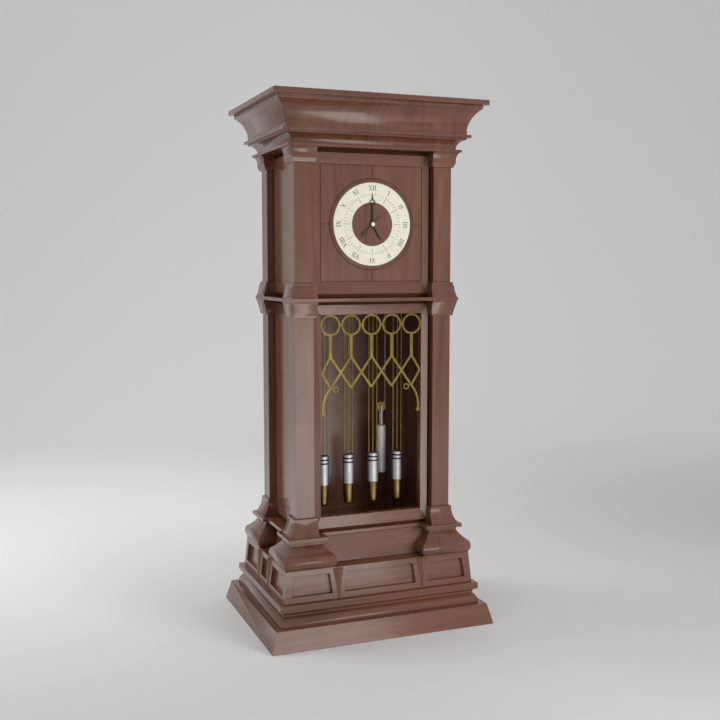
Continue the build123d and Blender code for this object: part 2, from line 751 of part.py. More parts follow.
MOTION_REACH = MOTION_MODULE * (CANNON_TEETH + MINUTE_WHEEL_TEETH) / 2
MOTION_ANGLE = -pi / 4
MINUTE_WHEEL_X = MOTION_REACH * cos(MOTION_ANGLE)
MINUTE_WHEEL_Z = DIAL_Z + MOTION_REACH * sin(MOTION_ANGLE)
THIRD_REACH = CENTRE_MODULE * (CENTRE_TEETH + THIRD_PINION_TEETH) / 2
THIRD_MODULE = 2 * THIRD_REACH / (THIRD_TEETH + SECONDS_PINION_TEETH)
THIRD_X = -THIRD_REACH
GREAT_REACH = GREAT_MODULE * (GREAT_TEETH + CENTRE_PINION_TEETH) / 2
GREAT_Z = DIAL_Z - GREAT_REACH

# Back faces of the hands
HOUR_HAND_Y = RING_Y - HAND_GAP
MINUTE_HAND_Y = HOUR_HAND_Y - HAND_THICK - HAND_GAP
SECONDS_HAND_Y = MINUTE_HAND_Y - HAND_THICK - HAND_GAP


def layer(outline, front_y, thick, x=0.0, z=DIAL_Z):
    """Wheel of a given thickness with its front face at front_y."""
    return upright(outline, front_y + thick, thick, x, z)


def pinion_front(wheel_front):
    """Front face of a pinion centred on the wheel that it meshes with."""
    return wheel_front - (PINION_THICK - WHEEL_THICK) / 2


def cannon_pinion():
    """Pinion and pipe of the minute hand."""
    front = pinion_front(MINUTE_WHEEL_Y)
    body = layer(gear(CANNON_TEETH, MOTION_MODULE, MOTION_ANGLE), front, PINION_THICK)
    body += rod(0, DIAL_Z, MINUTE_HAND_Y - HAND_THICK, front + PINION_THICK, CANNON_PIPE_RADIUS)
    bore = CENTRE_PIPE_RADIUS + RUNNING_FIT
    return [body - rod(0, DIAL_Z, SECONDS_HAND_Y, front + PINION_THICK, bore)]


def hour_wheel():
    """Wheel and pipe of the hour hand."""
    body = layer(gear(HOUR_WHEEL_TEETH, MOTION_MODULE, MOTION_ANGLE), HOUR_WHEEL_Y, WHEEL_THICK)
    body += rod(0, DIAL_Z, HOUR_HAND_Y - HAND_THICK, HOUR_WHEEL_Y + WHEEL_THICK, HOUR_PIPE_RADIUS)
    bore = CANNON_PIPE_RADIUS + RUNNING_FIT
    return [body - rod(0, DIAL_Z, SECONDS_HAND_Y, HOUR_WHEEL_Y + WHEEL_THICK, bore)]


def minute_wheel():
    """Reduction wheel and pinion between the minute and hour pipes."""
    place = (MINUTE_WHEEL_X, MINUTE_WHEEL_Z)
    pinion_y = pinion_front(HOUR_WHEEL_Y)
    wheel_phase = facing(MINUTE_WHEEL_TEETH, MOTION_ANGLE)
    pinion_phase = facing(MINUTE_PINION_TEETH, MOTION_ANGLE)
    body = layer(gear(MINUTE_WHEEL_TEETH, MOTION_MODULE, wheel_phase), MINUTE_WHEEL_Y, WHEEL_THICK, *place)
    body += layer(gear(MINUTE_PINION_TEETH, MOTION_MODULE, pinion_phase), pinion_y, PINION_THICK, *place)
    body += rod(*place, pinion_y, MINUTE_WHEEL_Y + WHEEL_THICK, MINUTE_HUB_RADIUS)
    bore = MINUTE_STUD_RADIUS + RUNNING_FIT
    return [body - rod(*place, pinion_y, MINUTE_WHEEL_Y + WHEEL_THICK, bore)]


def centre_wheel():
    """Centre wheel and pinion on the hollow centre arbor."""
    body = layer(gear(CENTRE_TEETH, CENTRE_MODULE, pi), CENTRE_WHEEL_Y, WHEEL_THICK)
    body += layer(gear(CENTRE_PINION_TEETH, GREAT_MODULE, -pi / 2), pinion_front(GREAT_WHEEL_Y), PINION_THICK)
    back = CENTRE_WHEEL_Y + PINION_THICK
    body += rod(0, DIAL_Z, DRUM_Y, back, CENTRE_PIPE_RADIUS)
    return [body - rod(0, DIAL_Z, DRUM_Y, back, SECONDS_RADIUS + RUNNING_FIT)]


def third_wheel():
    place = (THIRD_X, DIAL_Z)
    pinion = gear(THIRD_PINION_TEETH, CENTRE_MODULE, facing(THIRD_PINION_TEETH, pi))
    body = layer(gear(THIRD_TEETH, THIRD_MODULE, 0.0), THIRD_WHEEL_Y, WHEEL_THICK, *place)
    body += layer(pinion, pinion_front(CENTRE_WHEEL_Y), PINION_THICK, *place)
    return [body + rod(*place, PLATE_FRONT, PLATE_BACK, ARBOR_RADIUS)]


def seconds_arbor():
    """Innermost arbor, from the seconds hand to the back plate, with its pinion."""
    pinion = gear(SECONDS_PINION_TEETH, THIRD_MODULE, facing(SECONDS_PINION_TEETH, 0.0))
    body = layer(pinion, pinion_front(THIRD_WHEEL_Y), PINION_THICK)
    return [body + rod(0, DIAL_Z, SECONDS_HAND_Y - HAND_THICK, PLATE_BACK, SECONDS_RADIUS)]


def escape_wheel():
    outline = escape_outline() - Circle(SECONDS_RADIUS + RUNNING_FIT)
    return [layer(outline, ESCAPE_Y, WHEEL_THICK)]


def great_wheel():
    place = (0.0, GREAT_Z)
    phase = facing(GREAT_TEETH, -pi / 2)
    body = layer(gear(GREAT_TEETH, GREAT_MODULE, phase), GREAT_WHEEL_Y, WHEEL_THICK, *place)
    return [body + rod(*place, PLATE_FRONT, PLATE_BACK, GREAT_ARBOR_RADIUS)]


# Movement frame

def movement_plate(front_y):
    """Brass plate with a pivot hole for each arbor that it carries."""
    low = DIAL_Z - PLATE_BELOW_DIAL
    high = DIAL_Z + PLATE_ABOVE_DIAL
    back_y = front_y + PLATE_THICK
    body = block((-PLATE_HALF, front_y, low), (PLATE_HALF, back_y, high))
    centre = CENTRE_PIPE_RADIUS if front_y == PLATE_FRONT else SECONDS_RADIUS
    pivots = [(0, DIAL_Z, centre), (THIRD_X, DIAL_Z, ARBOR_RADIUS)]
    pivots += [(0, GREAT_Z, GREAT_ARBOR_RADIUS), (0, SWING_Z, ARBOR_RADIUS)]
    for x, z, radius in pivots:
        body -= rod(x, z, front_y, back_y, radius + RUNNING_FIT)
    return body


def movement_frame():
    """Two plates, the pillars that hold them apart, and the stud of the minute wheel."""
    pillars = []
    for x in (PILLAR_INSET - PLATE_HALF, PLATE_HALF - PILLAR_INSET):
        for z in (DIAL_Z - PLATE_BELOW_DIAL + PILLAR_RIM, DIAL_Z + PLATE_ABOVE_DIAL - PILLAR_RIM):
            pillars.append(rod(x, z, FRONT_PLATE_BACK, BACK_PLATE_Y, PILLAR_RADIUS))
    stud_front = pinion_front(HOUR_WHEEL_Y)
    stud = rod(MINUTE_WHEEL_X, MINUTE_WHEEL_Z, stud_front, PLATE_FRONT, MINUTE_STUD_RADIUS)
    return [movement_plate(PLATE_FRONT), movement_plate(BACK_PLATE_Y), *pillars, stud]


def suspension_cock():
    """Bracket on the back plate that the pendulum hangs from."""
    foot = SWING_Z + COCK_ABOVE_SWING
    reach = PENDULUM_Y + BOB_THICK / 2
    return [block((-COCK_HALF, PLATE_BACK, foot), (COCK_HALF, reach, foot + COCK_HEIGHT))]


def seatboard():
    """Board that carries the movement, with a slot for the pendulum."""
    half = POST_X + FRAME_BACK - SEATBOARD_CLEAR
    back_y = SEATBOARD_FRONT_Y + SEATBOARD_DEPTH
    board = block((-half, SEATBOARD_FRONT_Y, SEATBOARD_FOOT), (half, back_y, SEATBOARD_TOP))
    slot_front = PENDULUM_Y - SLOT_BEFORE_PENDULUM
    slot_back = PENDULUM_Y + SLOT_BEHIND_PENDULUM
    slot = block((-SLOT_HALF, slot_front, SEATBOARD_FOOT), (SLOT_HALF, slot_back, SEATBOARD_TOP))
    return [board - slot]


def seat_cleats():
    """Ledges on the side panels under the seatboard."""
    wall = POST_X + FRAME_FACE - PANEL_THICK
    half = HOOD_SIDE.half_open - CLEAT_END_GAP
    right = block((wall - CLEAT_WIDTH, -half, SEATBOARD_FOOT - CLEAT_SIDE), (wall, half, SEATBOARD_FOOT))
    return [right, mirror(right, about=Plane.YZ)]


# Anchor and pendulum

def anchor():
    """Pallet arms on their arbor, and the crutch behind the back plate."""
    reach = ESCAPE_RADIUS + PALLET_CLEAR
    tip = (reach * sin(PALLET_ANGLE), reach * cos(PALLET_ANGLE) - SWING_ABOVE_DIAL)
    arms = Circle(ANCHOR_HUB_RADIUS)
    for side in (-1, 1):
        outer = (side * (tip[0] + ANCHOR_ARM), tip[1] + ANCHOR_ARM)
        inner = (side * tip[0], tip[1])
        arms += make_face(Polyline((0, ANCHOR_ARM), outer, inner, (0, -ANCHOR_HUB_RADIUS / 2), close=True))
    body = layer(arms, ESCAPE_Y, WHEEL_THICK, 0, SWING_Z)
    crutch_y = PLATE_BACK + CRUTCH_THICK
    body += rod(0, SWING_Z, PLATE_FRONT, crutch_y + CRUTCH_THICK, ARBOR_RADIUS)
    fork_half = ROD_HALF + FORK_GAP
    low = SWING_Z - FORK_BELOW_SWING
    crutch_back = crutch_y + CRUTCH_THICK
    body += block((-fork_half, crutch_y, low), (fork_half, crutch_back, SWING_Z + ANCHOR_HUB_RADIUS))
    for side in (-1, 1):
        edges = sorted((side * fork_half, side * (fork_half + FORK_PRONG)))
        prong_back = PENDULUM_Y + 2 * ROD_HALF
        body += block((edges[0], crutch_y, low), (edges[1], prong_back, low + FORK_HEIGHT))
    return [body]


def bob_level():
    return SWING_Z - PENDULUM_LENGTH


def pendulum_rod():
    """Suspension strip, square rod and the round tail that the bob and nut sit on."""
    top = SWING_Z + COCK_ABOVE_SWING - COCK_GAP
    shoulder = top - SPRING_LENGTH
    strip = SPRING_THICK / 2
    body = block((-SPRING_HALF, PENDULUM_Y - strip, shoulder), (SPRING_HALF, PENDULUM_Y + strip, top))
    bob_top = bob_level() + BOB_RADIUS
    body += block((-ROD_HALF, PENDULUM_Y - ROD_HALF, bob_top), (ROD_HALF, PENDULUM_Y + ROD_HALF, shoulder))
    foot = bob_level() - BOB_RADIUS - NUT_THICK
    tail = Pos(0, PENDULUM_Y, (foot + bob_top) / 2) * Cylinder(ARBOR_RADIUS, bob_top - foot)
    return [body + tail]


def pendulum_bob():
    bob = rod(0, bob_level(), PENDULUM_Y - BOB_THICK / 2, PENDULUM_Y + BOB_THICK / 2, BOB_RADIUS)
    bob = fillet(bob.edges().filter_by(GeomType.CIRCLE), BOB_ROUND)
    hole = Pos(0, PENDULUM_Y, bob_level()) * Cylinder(ARBOR_RADIUS + RUNNING_FIT, 2 * BOB_RADIUS)
    return [bob - hole]


def rating_nut():
    middle = bob_level() - BOB_RADIUS - NUT_THICK / 2
    nut = Cylinder(NUT_RADIUS, NUT_THICK) - Cylinder(ARBOR_RADIUS + RUNNING_FIT, NUT_THICK)
    return [Pos(0, PENDULUM_Y, middle) * nut]


# Hands

def hand(outline, back_y, hub_radius, bore, angle):
    """Flat hand drawn pointing up, with a round hub, turned clockwise by an angle."""
    shape = outline + Circle(hub_radius) - Circle(bore + RUNNING_FIT)
    return upright(Rot(0, 0, -angle) * shape, back_y, HAND_THICK, 0, DIAL_Z)


def blade(length, half_foot, half_head):
    """Tapered blade from the centre, ending in a point."""
    neck = length * NECK_SHARE
    points = ((-half_foot, 0), (half_foot, 0), (half_head, neck), (0, length), (-half_head, neck))
    return make_face(Polyline(*points, close=True))


def fishtail(length, half_foot, half_head):
    """Narrow tail from the centre that spreads into two prongs."""
    neck = length * TAIL_NECK_SHARE
    notch = length * TAIL_NOTCH_SHARE
    right = ((half_foot, 0), (half_foot, neck), (half_head, length))
    left = ((-half_head, length), (-half_foot, neck), (-half_foot, 0))
    return make_face(Polyline(*right, (0, notch), *left, close=True))


def hour_hand():
    outline = blade(HOUR_LENGTH, HOUR_FOOT_HALF, HOUR_NECK_HALF)
    return [hand(outline, HOUR_HAND_Y, HOUR_HUB_RADIUS, HOUR_PIPE_RADIUS, HOUR_ANGLE)]


def minute_hand():
    eye = Pos(0, MINUTE_EYE_AT) * Circle(MINUTE_EYE_RADIUS)
    hole = Pos(0, MINUTE_EYE_AT) * Circle(MINUTE_EYE_HOLE)
    outline = blade(MINUTE_LENGTH, MINUTE_FOOT_HALF, MINUTE_NECK_HALF) + eye - hole
    return [hand(outline, MINUTE_HAND_Y, MINUTE_HAND_HUB_RADIUS, CANNON_PIPE_RADIUS, MINUTE_ANGLE)]


def seconds_hand():
    outline = blade(SECONDS_LENGTH, SECONDS_FOOT_HALF, SECONDS_NECK_HALF)
    outline += Rot(0, 0, 180) * fishtail(SECONDS_TAIL, SECONDS_FOOT_HALF, TAIL_HALF)
    return [hand(outline, SECONDS_HAND_Y, SECONDS_HUB_RADIUS, SECONDS_RADIUS, SECONDS_ANGLE)]


def centre_cap():
    cap = upright(Circle(CAP_RADIUS), SECONDS_HAND_Y - HAND_THICK, CAP_THICK, 0, DIAL_Z)
    rim = cap.edges().filter_by(GeomType.CIRCLE).sort_by(Axis.Y)[0]
    return [fillet(rim, CAP_ROUND)]


# Fret

FRET_PITCH = (2 * (TRUNK_FRONT.half_open - FRET_CLEAR) + FRET_RING_GAP) / FRET_RINGS
FRET_RING_RADIUS = (FRET_PITCH - FRET_RING_GAP) / 2
FRET_RING_Z = TRUNK_FRONT.head - FRET_RING_RADIUS
FRET_BAR_FOOT = TRUNK_FRONT.head - FRET_BAR_DROP
FRET_CROSS_Z = TRUNK_FRONT.head - FRET_CROSS_DROP
FRET_NODE_Z = TRUNK_FRONT.head - FRET_NODE_DROP
FRET_BALL_Z = TRUNK_FRONT.head - FRET_BALL_DROP


def fret_column(x):
    """One ring on its bar, with the lattice diamond below it, kept inside the opening."""
    column = Pos(x, FRET_RING_Z) * (Circle(FRET_RING_RADIUS) - Circle(FRET_RING_RADIUS - FRET_RING_BAR))
    bar_height = FRET_RING_Z - FRET_RING_RADIUS + FRET_RING_BAR / 2 - FRET_BAR_FOOT
    column += Pos(x, FRET_BAR_FOOT + bar_height / 2) * Rectangle(FRET_BAR, bar_height)
    limit = TRUNK_FRONT.half_open - FRET_CLEAR - FRET_LATTICE / 2
    for side in (-1, 1):
        corner_x = max(-limit, min(limit, x + side * FRET_PITCH / 2))
        corner = (corner_x, FRET_CROSS_Z)
        column += trace(Line((x, FRET_BAR_FOOT), corner), FRET_LATTICE)
        column += trace(Line(corner, (x, FRET_NODE_Z)), FRET_LATTICE)
    return column


def fret_scroll(node_x, side):
    """Curl and hanging scroll with its ball at one side of the opening."""
    node = (node_x, FRET_NODE_Z)
    ball_x = side * (TRUNK_FRONT.half_open - FRET_BALL_INSET)
    bend = (ball_x - side * FRET_SCROLL_BEND, (FRET_NODE_Z + FRET_BALL_Z) / 2)
    scroll = trace(ThreePointArc(node, bend, (ball_x, FRET_BALL_Z)), FRET_LATTICE)
    scroll += Pos(ball_x, FRET_BALL_Z) * Circle(FRET_BALL_RADIUS)
    curl = Circle(FRET_CURL_RADIUS) - Circle(FRET_CURL_RADIUS - FRET_CURL_BAR)
    scroll += Pos(node_x - side * FRET_CURL_INSET, FRET_NODE_Z - FRET_CURL_BAR) * curl
    return scroll + trace(Line(node, (node_x - side * FRET_CURL_INSET / 2, FRET_NODE_Z)), FRET_CURL_BAR)


def fret():
    """Pierced brass fret: a row of rings on bars, a lattice, and a scroll at each side."""
    middle = (FRET_RINGS - 1) / 2
    places = [(index - middle) * FRET_PITCH for index in range(FRET_RINGS)]
    shape = Sketch()
    for x in places:
        shape += fret_column(x)
    for x in places[1:]:
        shape += Pos(x - FRET_PITCH / 2, FRET_RING_Z) * Rectangle(FRET_RING_GAP + FRET_RING_BAR, FRET_LINK)
    for side in (-1, 1):
        shape += fret_scroll(side * places[-1], side)
    return [upright(shape, FRET_Y + FRET_THICK, FRET_THICK)]


# Weights and lines

WEIGHT_PITCH = 2 * (TRUNK_FRONT.half_open - WEIGHT_MARGIN) / (WEIGHT_COUNT - 1)
DRIVE_X = TRUNK_FRONT.half_open - DRIVE_MARGIN


def weight_x(index):
    return (index - (WEIGHT_COUNT - 1) / 2) * WEIGHT_PITCH


def weight_body(index):
    """Silvered shell of a weight."""
    foot = WEIGHT_FOOT + WEIGHT_TIP_HEIGHT
    middle = Pos(weight_x(index), WEIGHT_Y, foot + WEIGHT_BODY_HEIGHT / 2)
    shell = middle * Cylinder(WEIGHT_RADIUS, WEIGHT_BODY_HEIGHT)
    return [chamfer(shell.edges().filter_by(GeomType.CIRCLE), WEIGHT_EDGE)]


def weight_tip(index):
    """Tapered brass end of a weight."""
    cone = Cone(TIP_END_RADIUS, TIP_HEAD_RADIUS, WEIGHT_TIP_HEIGHT)
    rim = cone.edges().filter_by(GeomType.CIRCLE).sort_by(Axis.Z)[0]
    return [Pos(weight_x(index), WEIGHT_Y, WEIGHT_FOOT + WEIGHT_TIP_HEIGHT / 2) * fillet(rim, TIP_ROUND)]


def weight_lines(index):
    """Three lines from a weight up to the seatboard."""
    foot = WEIGHT_FOOT + WEIGHT_TIP_HEIGHT + WEIGHT_BODY_HEIGHT
    length = SEATBOARD_FOOT - foot
    middle = (LINE_COUNT - 1) / 2
    places = [weight_x(index) + (line - middle) * LINE_PITCH for line in range(LINE_COUNT)]
    return [Pos(x, WEIGHT_Y, foot + length / 2) * Cylinder(LINE_RADIUS, length) for x in places]


DRIVE_HEAD = DRIVE_FOOT + DRIVE_HEIGHT
SHEAVE_Z = DRIVE_HEAD + SHEAVE_ABOVE_WEIGHT
STIRRUP_REACH = SHEAVE_THICK / 2 + SHEAVE_GAP + STIRRUP_RADIUS
BIGHT_RADIUS = SHEAVE_ROOT + SHEAVE_GAP + DRIVE_LINE_RADIUS


def drive_weight():
    body = Pos(DRIVE_X, DRIVE_Y, DRIVE_FOOT + DRIVE_HEIGHT / 2) * Cylinder(DRIVE_RADIUS, DRIVE_HEIGHT)
    return [chamfer(body.edges().filter_by(GeomType.CIRCLE), EDGE)]


def drive_stirrup():
    """Two rods from the drive weight, joined by the sheave's axle."""
    length = SHEAVE_ABOVE_WEIGHT + 2 * AXLE_RADIUS
    body = rod(DRIVE_X, SHEAVE_Z, DRIVE_Y - STIRRUP_REACH, DRIVE_Y + STIRRUP_REACH, AXLE_RADIUS)
    for y in (DRIVE_Y - STIRRUP_REACH, DRIVE_Y + STIRRUP_REACH):
        body += Pos(DRIVE_X, y, DRIVE_HEAD + length / 2) * Cylinder(STIRRUP_RADIUS, length)
    return [body]


def sheave():
    """Grooved brass pulley."""
    half = SHEAVE_THICK / 2
    wheel = rod(DRIVE_X, SHEAVE_Z, DRIVE_Y - half, DRIVE_Y + half, SHEAVE_RADIUS)
    groove = Torus(BIGHT_RADIUS, DRIVE_LINE_RADIUS + SHEAVE_GAP)
    cut = Pos(DRIVE_X, DRIVE_Y, SHEAVE_Z) * Rot(90, 0, 0) * groove
    outer = Circle(SHEAVE_RADIUS + EDGE) - Circle(BIGHT_RADIUS)
    slot = DRIVE_LINE_RADIUS + SHEAVE_GAP
    channel = upright(outer, DRIVE_Y + slot, 2 * slot, DRIVE_X, SHEAVE_Z)
    bore = rod(DRIVE_X, SHEAVE_Z, DRIVE_Y - half, DRIVE_Y + half, AXLE_RADIUS + RUNNING_FIT)
    return [wheel - cut - channel - bore]


def drive_line():
    """Line that comes down to the sheave, passes under it and goes up again."""
    left = DRIVE_X - BIGHT_RADIUS
    right = DRIVE_X + BIGHT_RADIUS
    down = Line((left, DRIVE_Y, SEATBOARD_FOOT), (left, DRIVE_Y, SHEAVE_Z))
    under = (DRIVE_X, DRIVE_Y, SHEAVE_Z - BIGHT_RADIUS)
    bight = ThreePointArc((left, DRIVE_Y, SHEAVE_Z), under, (right, DRIVE_Y, SHEAVE_Z))
    up = Line((right, DRIVE_Y, SHEAVE_Z), (right, DRIVE_Y, SEATBOARD_FOOT))
    section = Plane(origin=(left, DRIVE_Y, SEATBOARD_FOOT), z_dir=(0, 0, -1)) * Circle(DRIVE_LINE_RADIUS)
    return [sweep(section, path=Wire([down, bight, up]))]


# Writing the pieces

def save(name, pieces):
    """Write one node, as a group if it holds several solids."""
    solids = [solid for piece in pieces for solid in piece.solids()]
    shape = solids[0] if len(solids) == 1 else Compound(children=solids)
    export_step(shape, f"parts/{name}.step")


def save_case():
    lower_posts = lower_corner_posts()
    upper_posts = upper_corner_posts()
    side_frames = scribed(both_sides(TRUNK_SIDE.frame()), lower_posts)
    side_frames += scribed(both_sides(HOOD_SIDE.frame()), upper_posts)
    save("base_plinth", base_plinth())
    save("base_moulding", base_moulding())
    save("plinth_slab", plinth_slab())
    save("pedestal_die", pedestal_die())
    save("pedestal_ribs", pedestal_ribs())
    save("pedestal_deck", pedestal_deck())
    save("frieze_boards", frieze_boards())
    save("pier_cushions", pier_cushions())
    save("sill_plate", sill_plate())
    save("lower_posts", lower_posts)
    save("belt_slab", belt_slab())
    save("upper_posts", upper_posts)
    save("cornice_bed", cornice_bed())
    save("cornice_crown", cornice_crown())
    save("top_board", top_board())
    save("trunk_frame", scribed(TRUNK_FRONT.frame(), lower_posts))
    save("hood_frame", scribed(HOOD_FRONT.frame(), upper_posts))
    save("side_frames", side_frames)
    save("side_panels", both_sides([TRUNK_SIDE.panel(), HOOD_SIDE.panel()]))
    save("back_boards", back_board(TRUNK_FRONT, lower_posts) + back_board(HOOD_FRONT, upper_posts))
    save("dial_panel", dial_panel())
    save("dial_drum", dial_drum())
    save("chapter_ring", chapter_ring())
    save("fret", fret())
    save("seatboard", seatboard())
    save("seat_cleats", seat_cleats())


def save_movement():
    save("movement_frame", movement_frame())
    save("suspension_cock", suspension_cock())
    save("cannon_pinion", cannon_pinion())
    save("hour_wheel", hour_wheel())
    save("minute_wheel", minute_wheel())
    save("centre_wheel", centre_wheel())
    save("third_wheel", third_wheel())
    save("seconds_arbor", seconds_arbor())
    save("escape_wheel", escape_wheel())
    save("great_wheel", great_wheel())
    save("anchor", anchor())
    save("pendulum_rod", pendulum_rod())
    save("pendulum_bob", pendulum_bob())
    save("rating_nut", rating_nut())
    save("hour_hand", hour_hand())
    save("minute_hand", minute_hand())
    save("seconds_hand", seconds_hand())
    save("centre_cap", centre_cap())


def save_weights():
    for index in range(WEIGHT_COUNT):
        number = index + 1
        save(f"weight_{number}", weight_body(index))
        save(f"weight_tip_{number}", weight_tip(index))
        save(f"weight_lines_{number}", weight_lines(index))
    save("drive_weight", drive_weight())
    save("drive_stirrup", drive_stirrup())
    save("sheave", sheave())
    save("drive_line", drive_line())


os.makedirs("parts", exist_ok=True)
save_case()
save_movement()
save_weights()
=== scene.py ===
from math import ceil, cos, pi, radians, sin

import bmesh
import bpy
from bpy.props import FloatProperty, FloatVectorProperty, IntProperty, PointerProperty
from bpy.types import NodeSocket, Operator, Panel, PropertyGroup
from mathutils import Matrix, Vector


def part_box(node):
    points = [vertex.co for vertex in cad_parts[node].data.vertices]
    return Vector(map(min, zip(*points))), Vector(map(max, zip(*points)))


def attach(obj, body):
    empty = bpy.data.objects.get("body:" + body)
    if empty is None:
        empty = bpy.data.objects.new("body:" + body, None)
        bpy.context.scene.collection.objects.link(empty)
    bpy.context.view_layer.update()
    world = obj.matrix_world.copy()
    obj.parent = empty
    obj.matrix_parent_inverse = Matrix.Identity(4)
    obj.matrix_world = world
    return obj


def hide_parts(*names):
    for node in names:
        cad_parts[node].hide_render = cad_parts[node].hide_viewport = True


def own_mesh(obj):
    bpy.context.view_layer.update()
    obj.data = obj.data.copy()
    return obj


bl_info = {
    "name": "Hall Clock Looks",
    "version": (1, 0, 0),
    "blender": (4, 5, 0),
    "location": "3D View > Sidebar > Hall Clock",
    "description": "Finishes, dial markings, lines and studio stage of a tall hall clock",
    "category": "Object",
}

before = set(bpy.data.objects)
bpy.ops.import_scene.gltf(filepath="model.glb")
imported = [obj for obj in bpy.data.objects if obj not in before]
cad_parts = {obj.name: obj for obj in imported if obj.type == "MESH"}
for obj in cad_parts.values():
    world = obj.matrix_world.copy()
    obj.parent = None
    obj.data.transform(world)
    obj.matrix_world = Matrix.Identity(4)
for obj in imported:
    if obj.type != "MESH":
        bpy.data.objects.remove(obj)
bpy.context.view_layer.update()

# Places that the markings, lines and grain take from the frame, in metres
RING_LOW, RING_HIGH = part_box("chapter_ring")
DIAL_CENTRE = (RING_LOW + RING_HIGH) / 2
DIAL_FACE_Y = RING_LOW.y
TRUNK_LOW, TRUNK_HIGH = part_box("trunk_frame")
HOOD_LOW, HOOD_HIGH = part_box("hood_frame")
BELT_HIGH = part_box("belt_slab")[1]
WEIGHT_NUMBERS = (1, 2, 3, 4)

# Widths of the frame members, where their grain turns at the mitres
STILE = 0.036
TRUNK_RAILS = (0.0575, 0.049)
HOOD_RAILS = (0.060, 0.054)
SIDE_HALF_SPAN = 0.13725
MITRE_OFFSET = BELT_HIGH.x - BELT_HIGH.y


# Settings

def colour(name, description, default):
    return FloatVectorProperty(name=name, description=description, default=default, subtype="COLOR",
                               size=3, min=0.0, max=1.0)


def length(name, description, default):
    return FloatProperty(name=name, description=description, default=default, unit="LENGTH", min=0.0)


def power(name, description, default):
    return FloatProperty(name=name, description=description, default=default, unit="POWER", min=0.0)


class WoodSettings(PropertyGroup):
    """Tones of the timber and the softness of its arrises."""

    walnut_dark: colour("Walnut dark", "Late wood and pores of the case", (0.086, 0.031, 0.017))
    walnut_middle: colour("Walnut middle", "Main tone of the case", (0.149, 0.056, 0.031))
    walnut_light: colour("Walnut light", "Early wood of the case", (0.198, 0.081, 0.047))
    pine_dark: colour("Softwood dark", "Late wood of the hidden boards", (0.070, 0.036, 0.022))
    pine_middle: colour("Softwood middle", "Main tone of the hidden boards", (0.120, 0.066, 0.040))
    pine_light: colour("Softwood light", "Early wood of the hidden boards", (0.160, 0.094, 0.060))
    arris: length("Arris", "Width of the rounding on the timber edges", 0.0020)


class MetalSettings(PropertyGroup):
    """Colours of the metal pieces and their lines."""

    fret_brass: colour("Fret brass", "Aged brass of the fret", (0.250, 0.185, 0.055))
    tip_brass: colour("Weight brass", "Brass of the weight ends and the sheave", (0.295, 0.210, 0.075))
    movement_brass: colour("Movement brass", "Lacquered brass of the movement", (0.600, 0.440, 0.150))
    line_brass: colour("Line brass", "Brass wire of the weight lines", (0.310, 0.220, 0.065))
    silver: colour("Silver", "Silvered weight shells", (0.650, 0.650, 0.660))
    drive_silver: colour("Drive silver", "Silvered drive weight and its stirrup", (0.900, 0.900, 0.905))
    steel: colour("Steel", "Arbors, anchor and pendulum rod", (0.420, 0.430, 0.450))
    band_black: colour("Band black", "Rings on the weights", (0.012, 0.011, 0.011))
    arris: length("Arris", "Width of the rounding on the metal edges", 0.0007)
    line_lay: length("Line lay", "Length of one turn of a line's strands", 0.016)
    line_strands: IntProperty(name="Line strands", description="Strands twisted into a line",
                              default=3, min=2)
    line_groove: FloatProperty(name="Line groove",
                               description="Depth between strands as a share of the radius",
                               default=0.22, min=0.0, max=0.5, subtype="FACTOR")


class DialSettings(PropertyGroup):
    """Colours and sizes of the dial's face and markings."""

    cream: colour("Cream", "Enamel of the chapter ring", (0.830, 0.805, 0.680))
    ink: colour("Ink", "Numerals and minute marks", (0.055, 0.050, 0.046))
    hand_black: colour("Hand black", "Hour and minute hands", (0.026, 0.017, 0.014))
    hand_brown: colour("Hand brown", "Seconds hand", (0.070, 0.030, 0.021))
    numeral_radius: length("Numeral radius", "Middle of the numerals", 0.134)
    numeral_height: length("Numeral height", "Height of the numerals", 0.0165)
    numeral_stretch: FloatProperty(name="Numeral stretch",
                                   description="Width of the numerals against their strokes",
                                   default=1.35, min=0.5)
    hour_mark_inner: length("Hour mark inner", "Inner end of the hour marks", 0.088)
    hour_mark_outer: length("Hour mark outer", "Outer end of the hour marks", 0.116)
    minute_mark_inner: length("Minute mark inner", "Inner end of the minute marks", 0.106)
    minute_mark_outer: length("Minute mark outer", "Outer end of the minute marks", 0.113)
    mark_width: length("Mark width", "Width of the hour and minute marks", 0.0013)
    ink_height: length("Ink height", "Height of the markings above the enamel", 0.00015)


class StageSettings(PropertyGroup):
    """Floor, light and camera of the studio."""

    paper_light: colour("Paper light", "Paper sweep at the left and behind the clock", (0.900, 0.900, 0.896))
    # Painted shade: the paper's darker colour at the right and in front stands in for the fall-off of the
    # light
    paper_painted_shade: colour("Paper shade", "Paper sweep at the right and in front", (0.580, 0.580, 0.577))
    sky_colour: colour("Surroundings", "Light from all round", (0.900, 0.900, 0.900))
    sky_strength: FloatProperty(name="Surroundings strength",
                                description="Strength of the light from all round",
                                default=0.60, min=0.0)
    key_power: power("Key power", "Large lamp at the front right", 120.0)
    panel_power: power("Panel power", "Low panel at the front, seen only in the polish", 36.5)
    back_power: power("Back power", "Lamp behind at the left, which lights the floor", 36.0)
    lens: FloatProperty(name="Lens", description="Focal length on a 36 mm sensor, in millimetres",
                        default=50.0, min=1.0)
    camera_place: FloatVectorProperty(name="Camera place", description="Place of the camera", size=3,
                                      default=(-1.42098, -3.66601, 1.39103),
                                      subtype="TRANSLATION", unit="LENGTH")
    camera_turn: FloatVectorProperty(name="Camera turn", description="Rotation of the camera", size=3,
                                     default=(radians(84.542), 0.0, radians(-21.502)), subtype="EULER")


# Node trees

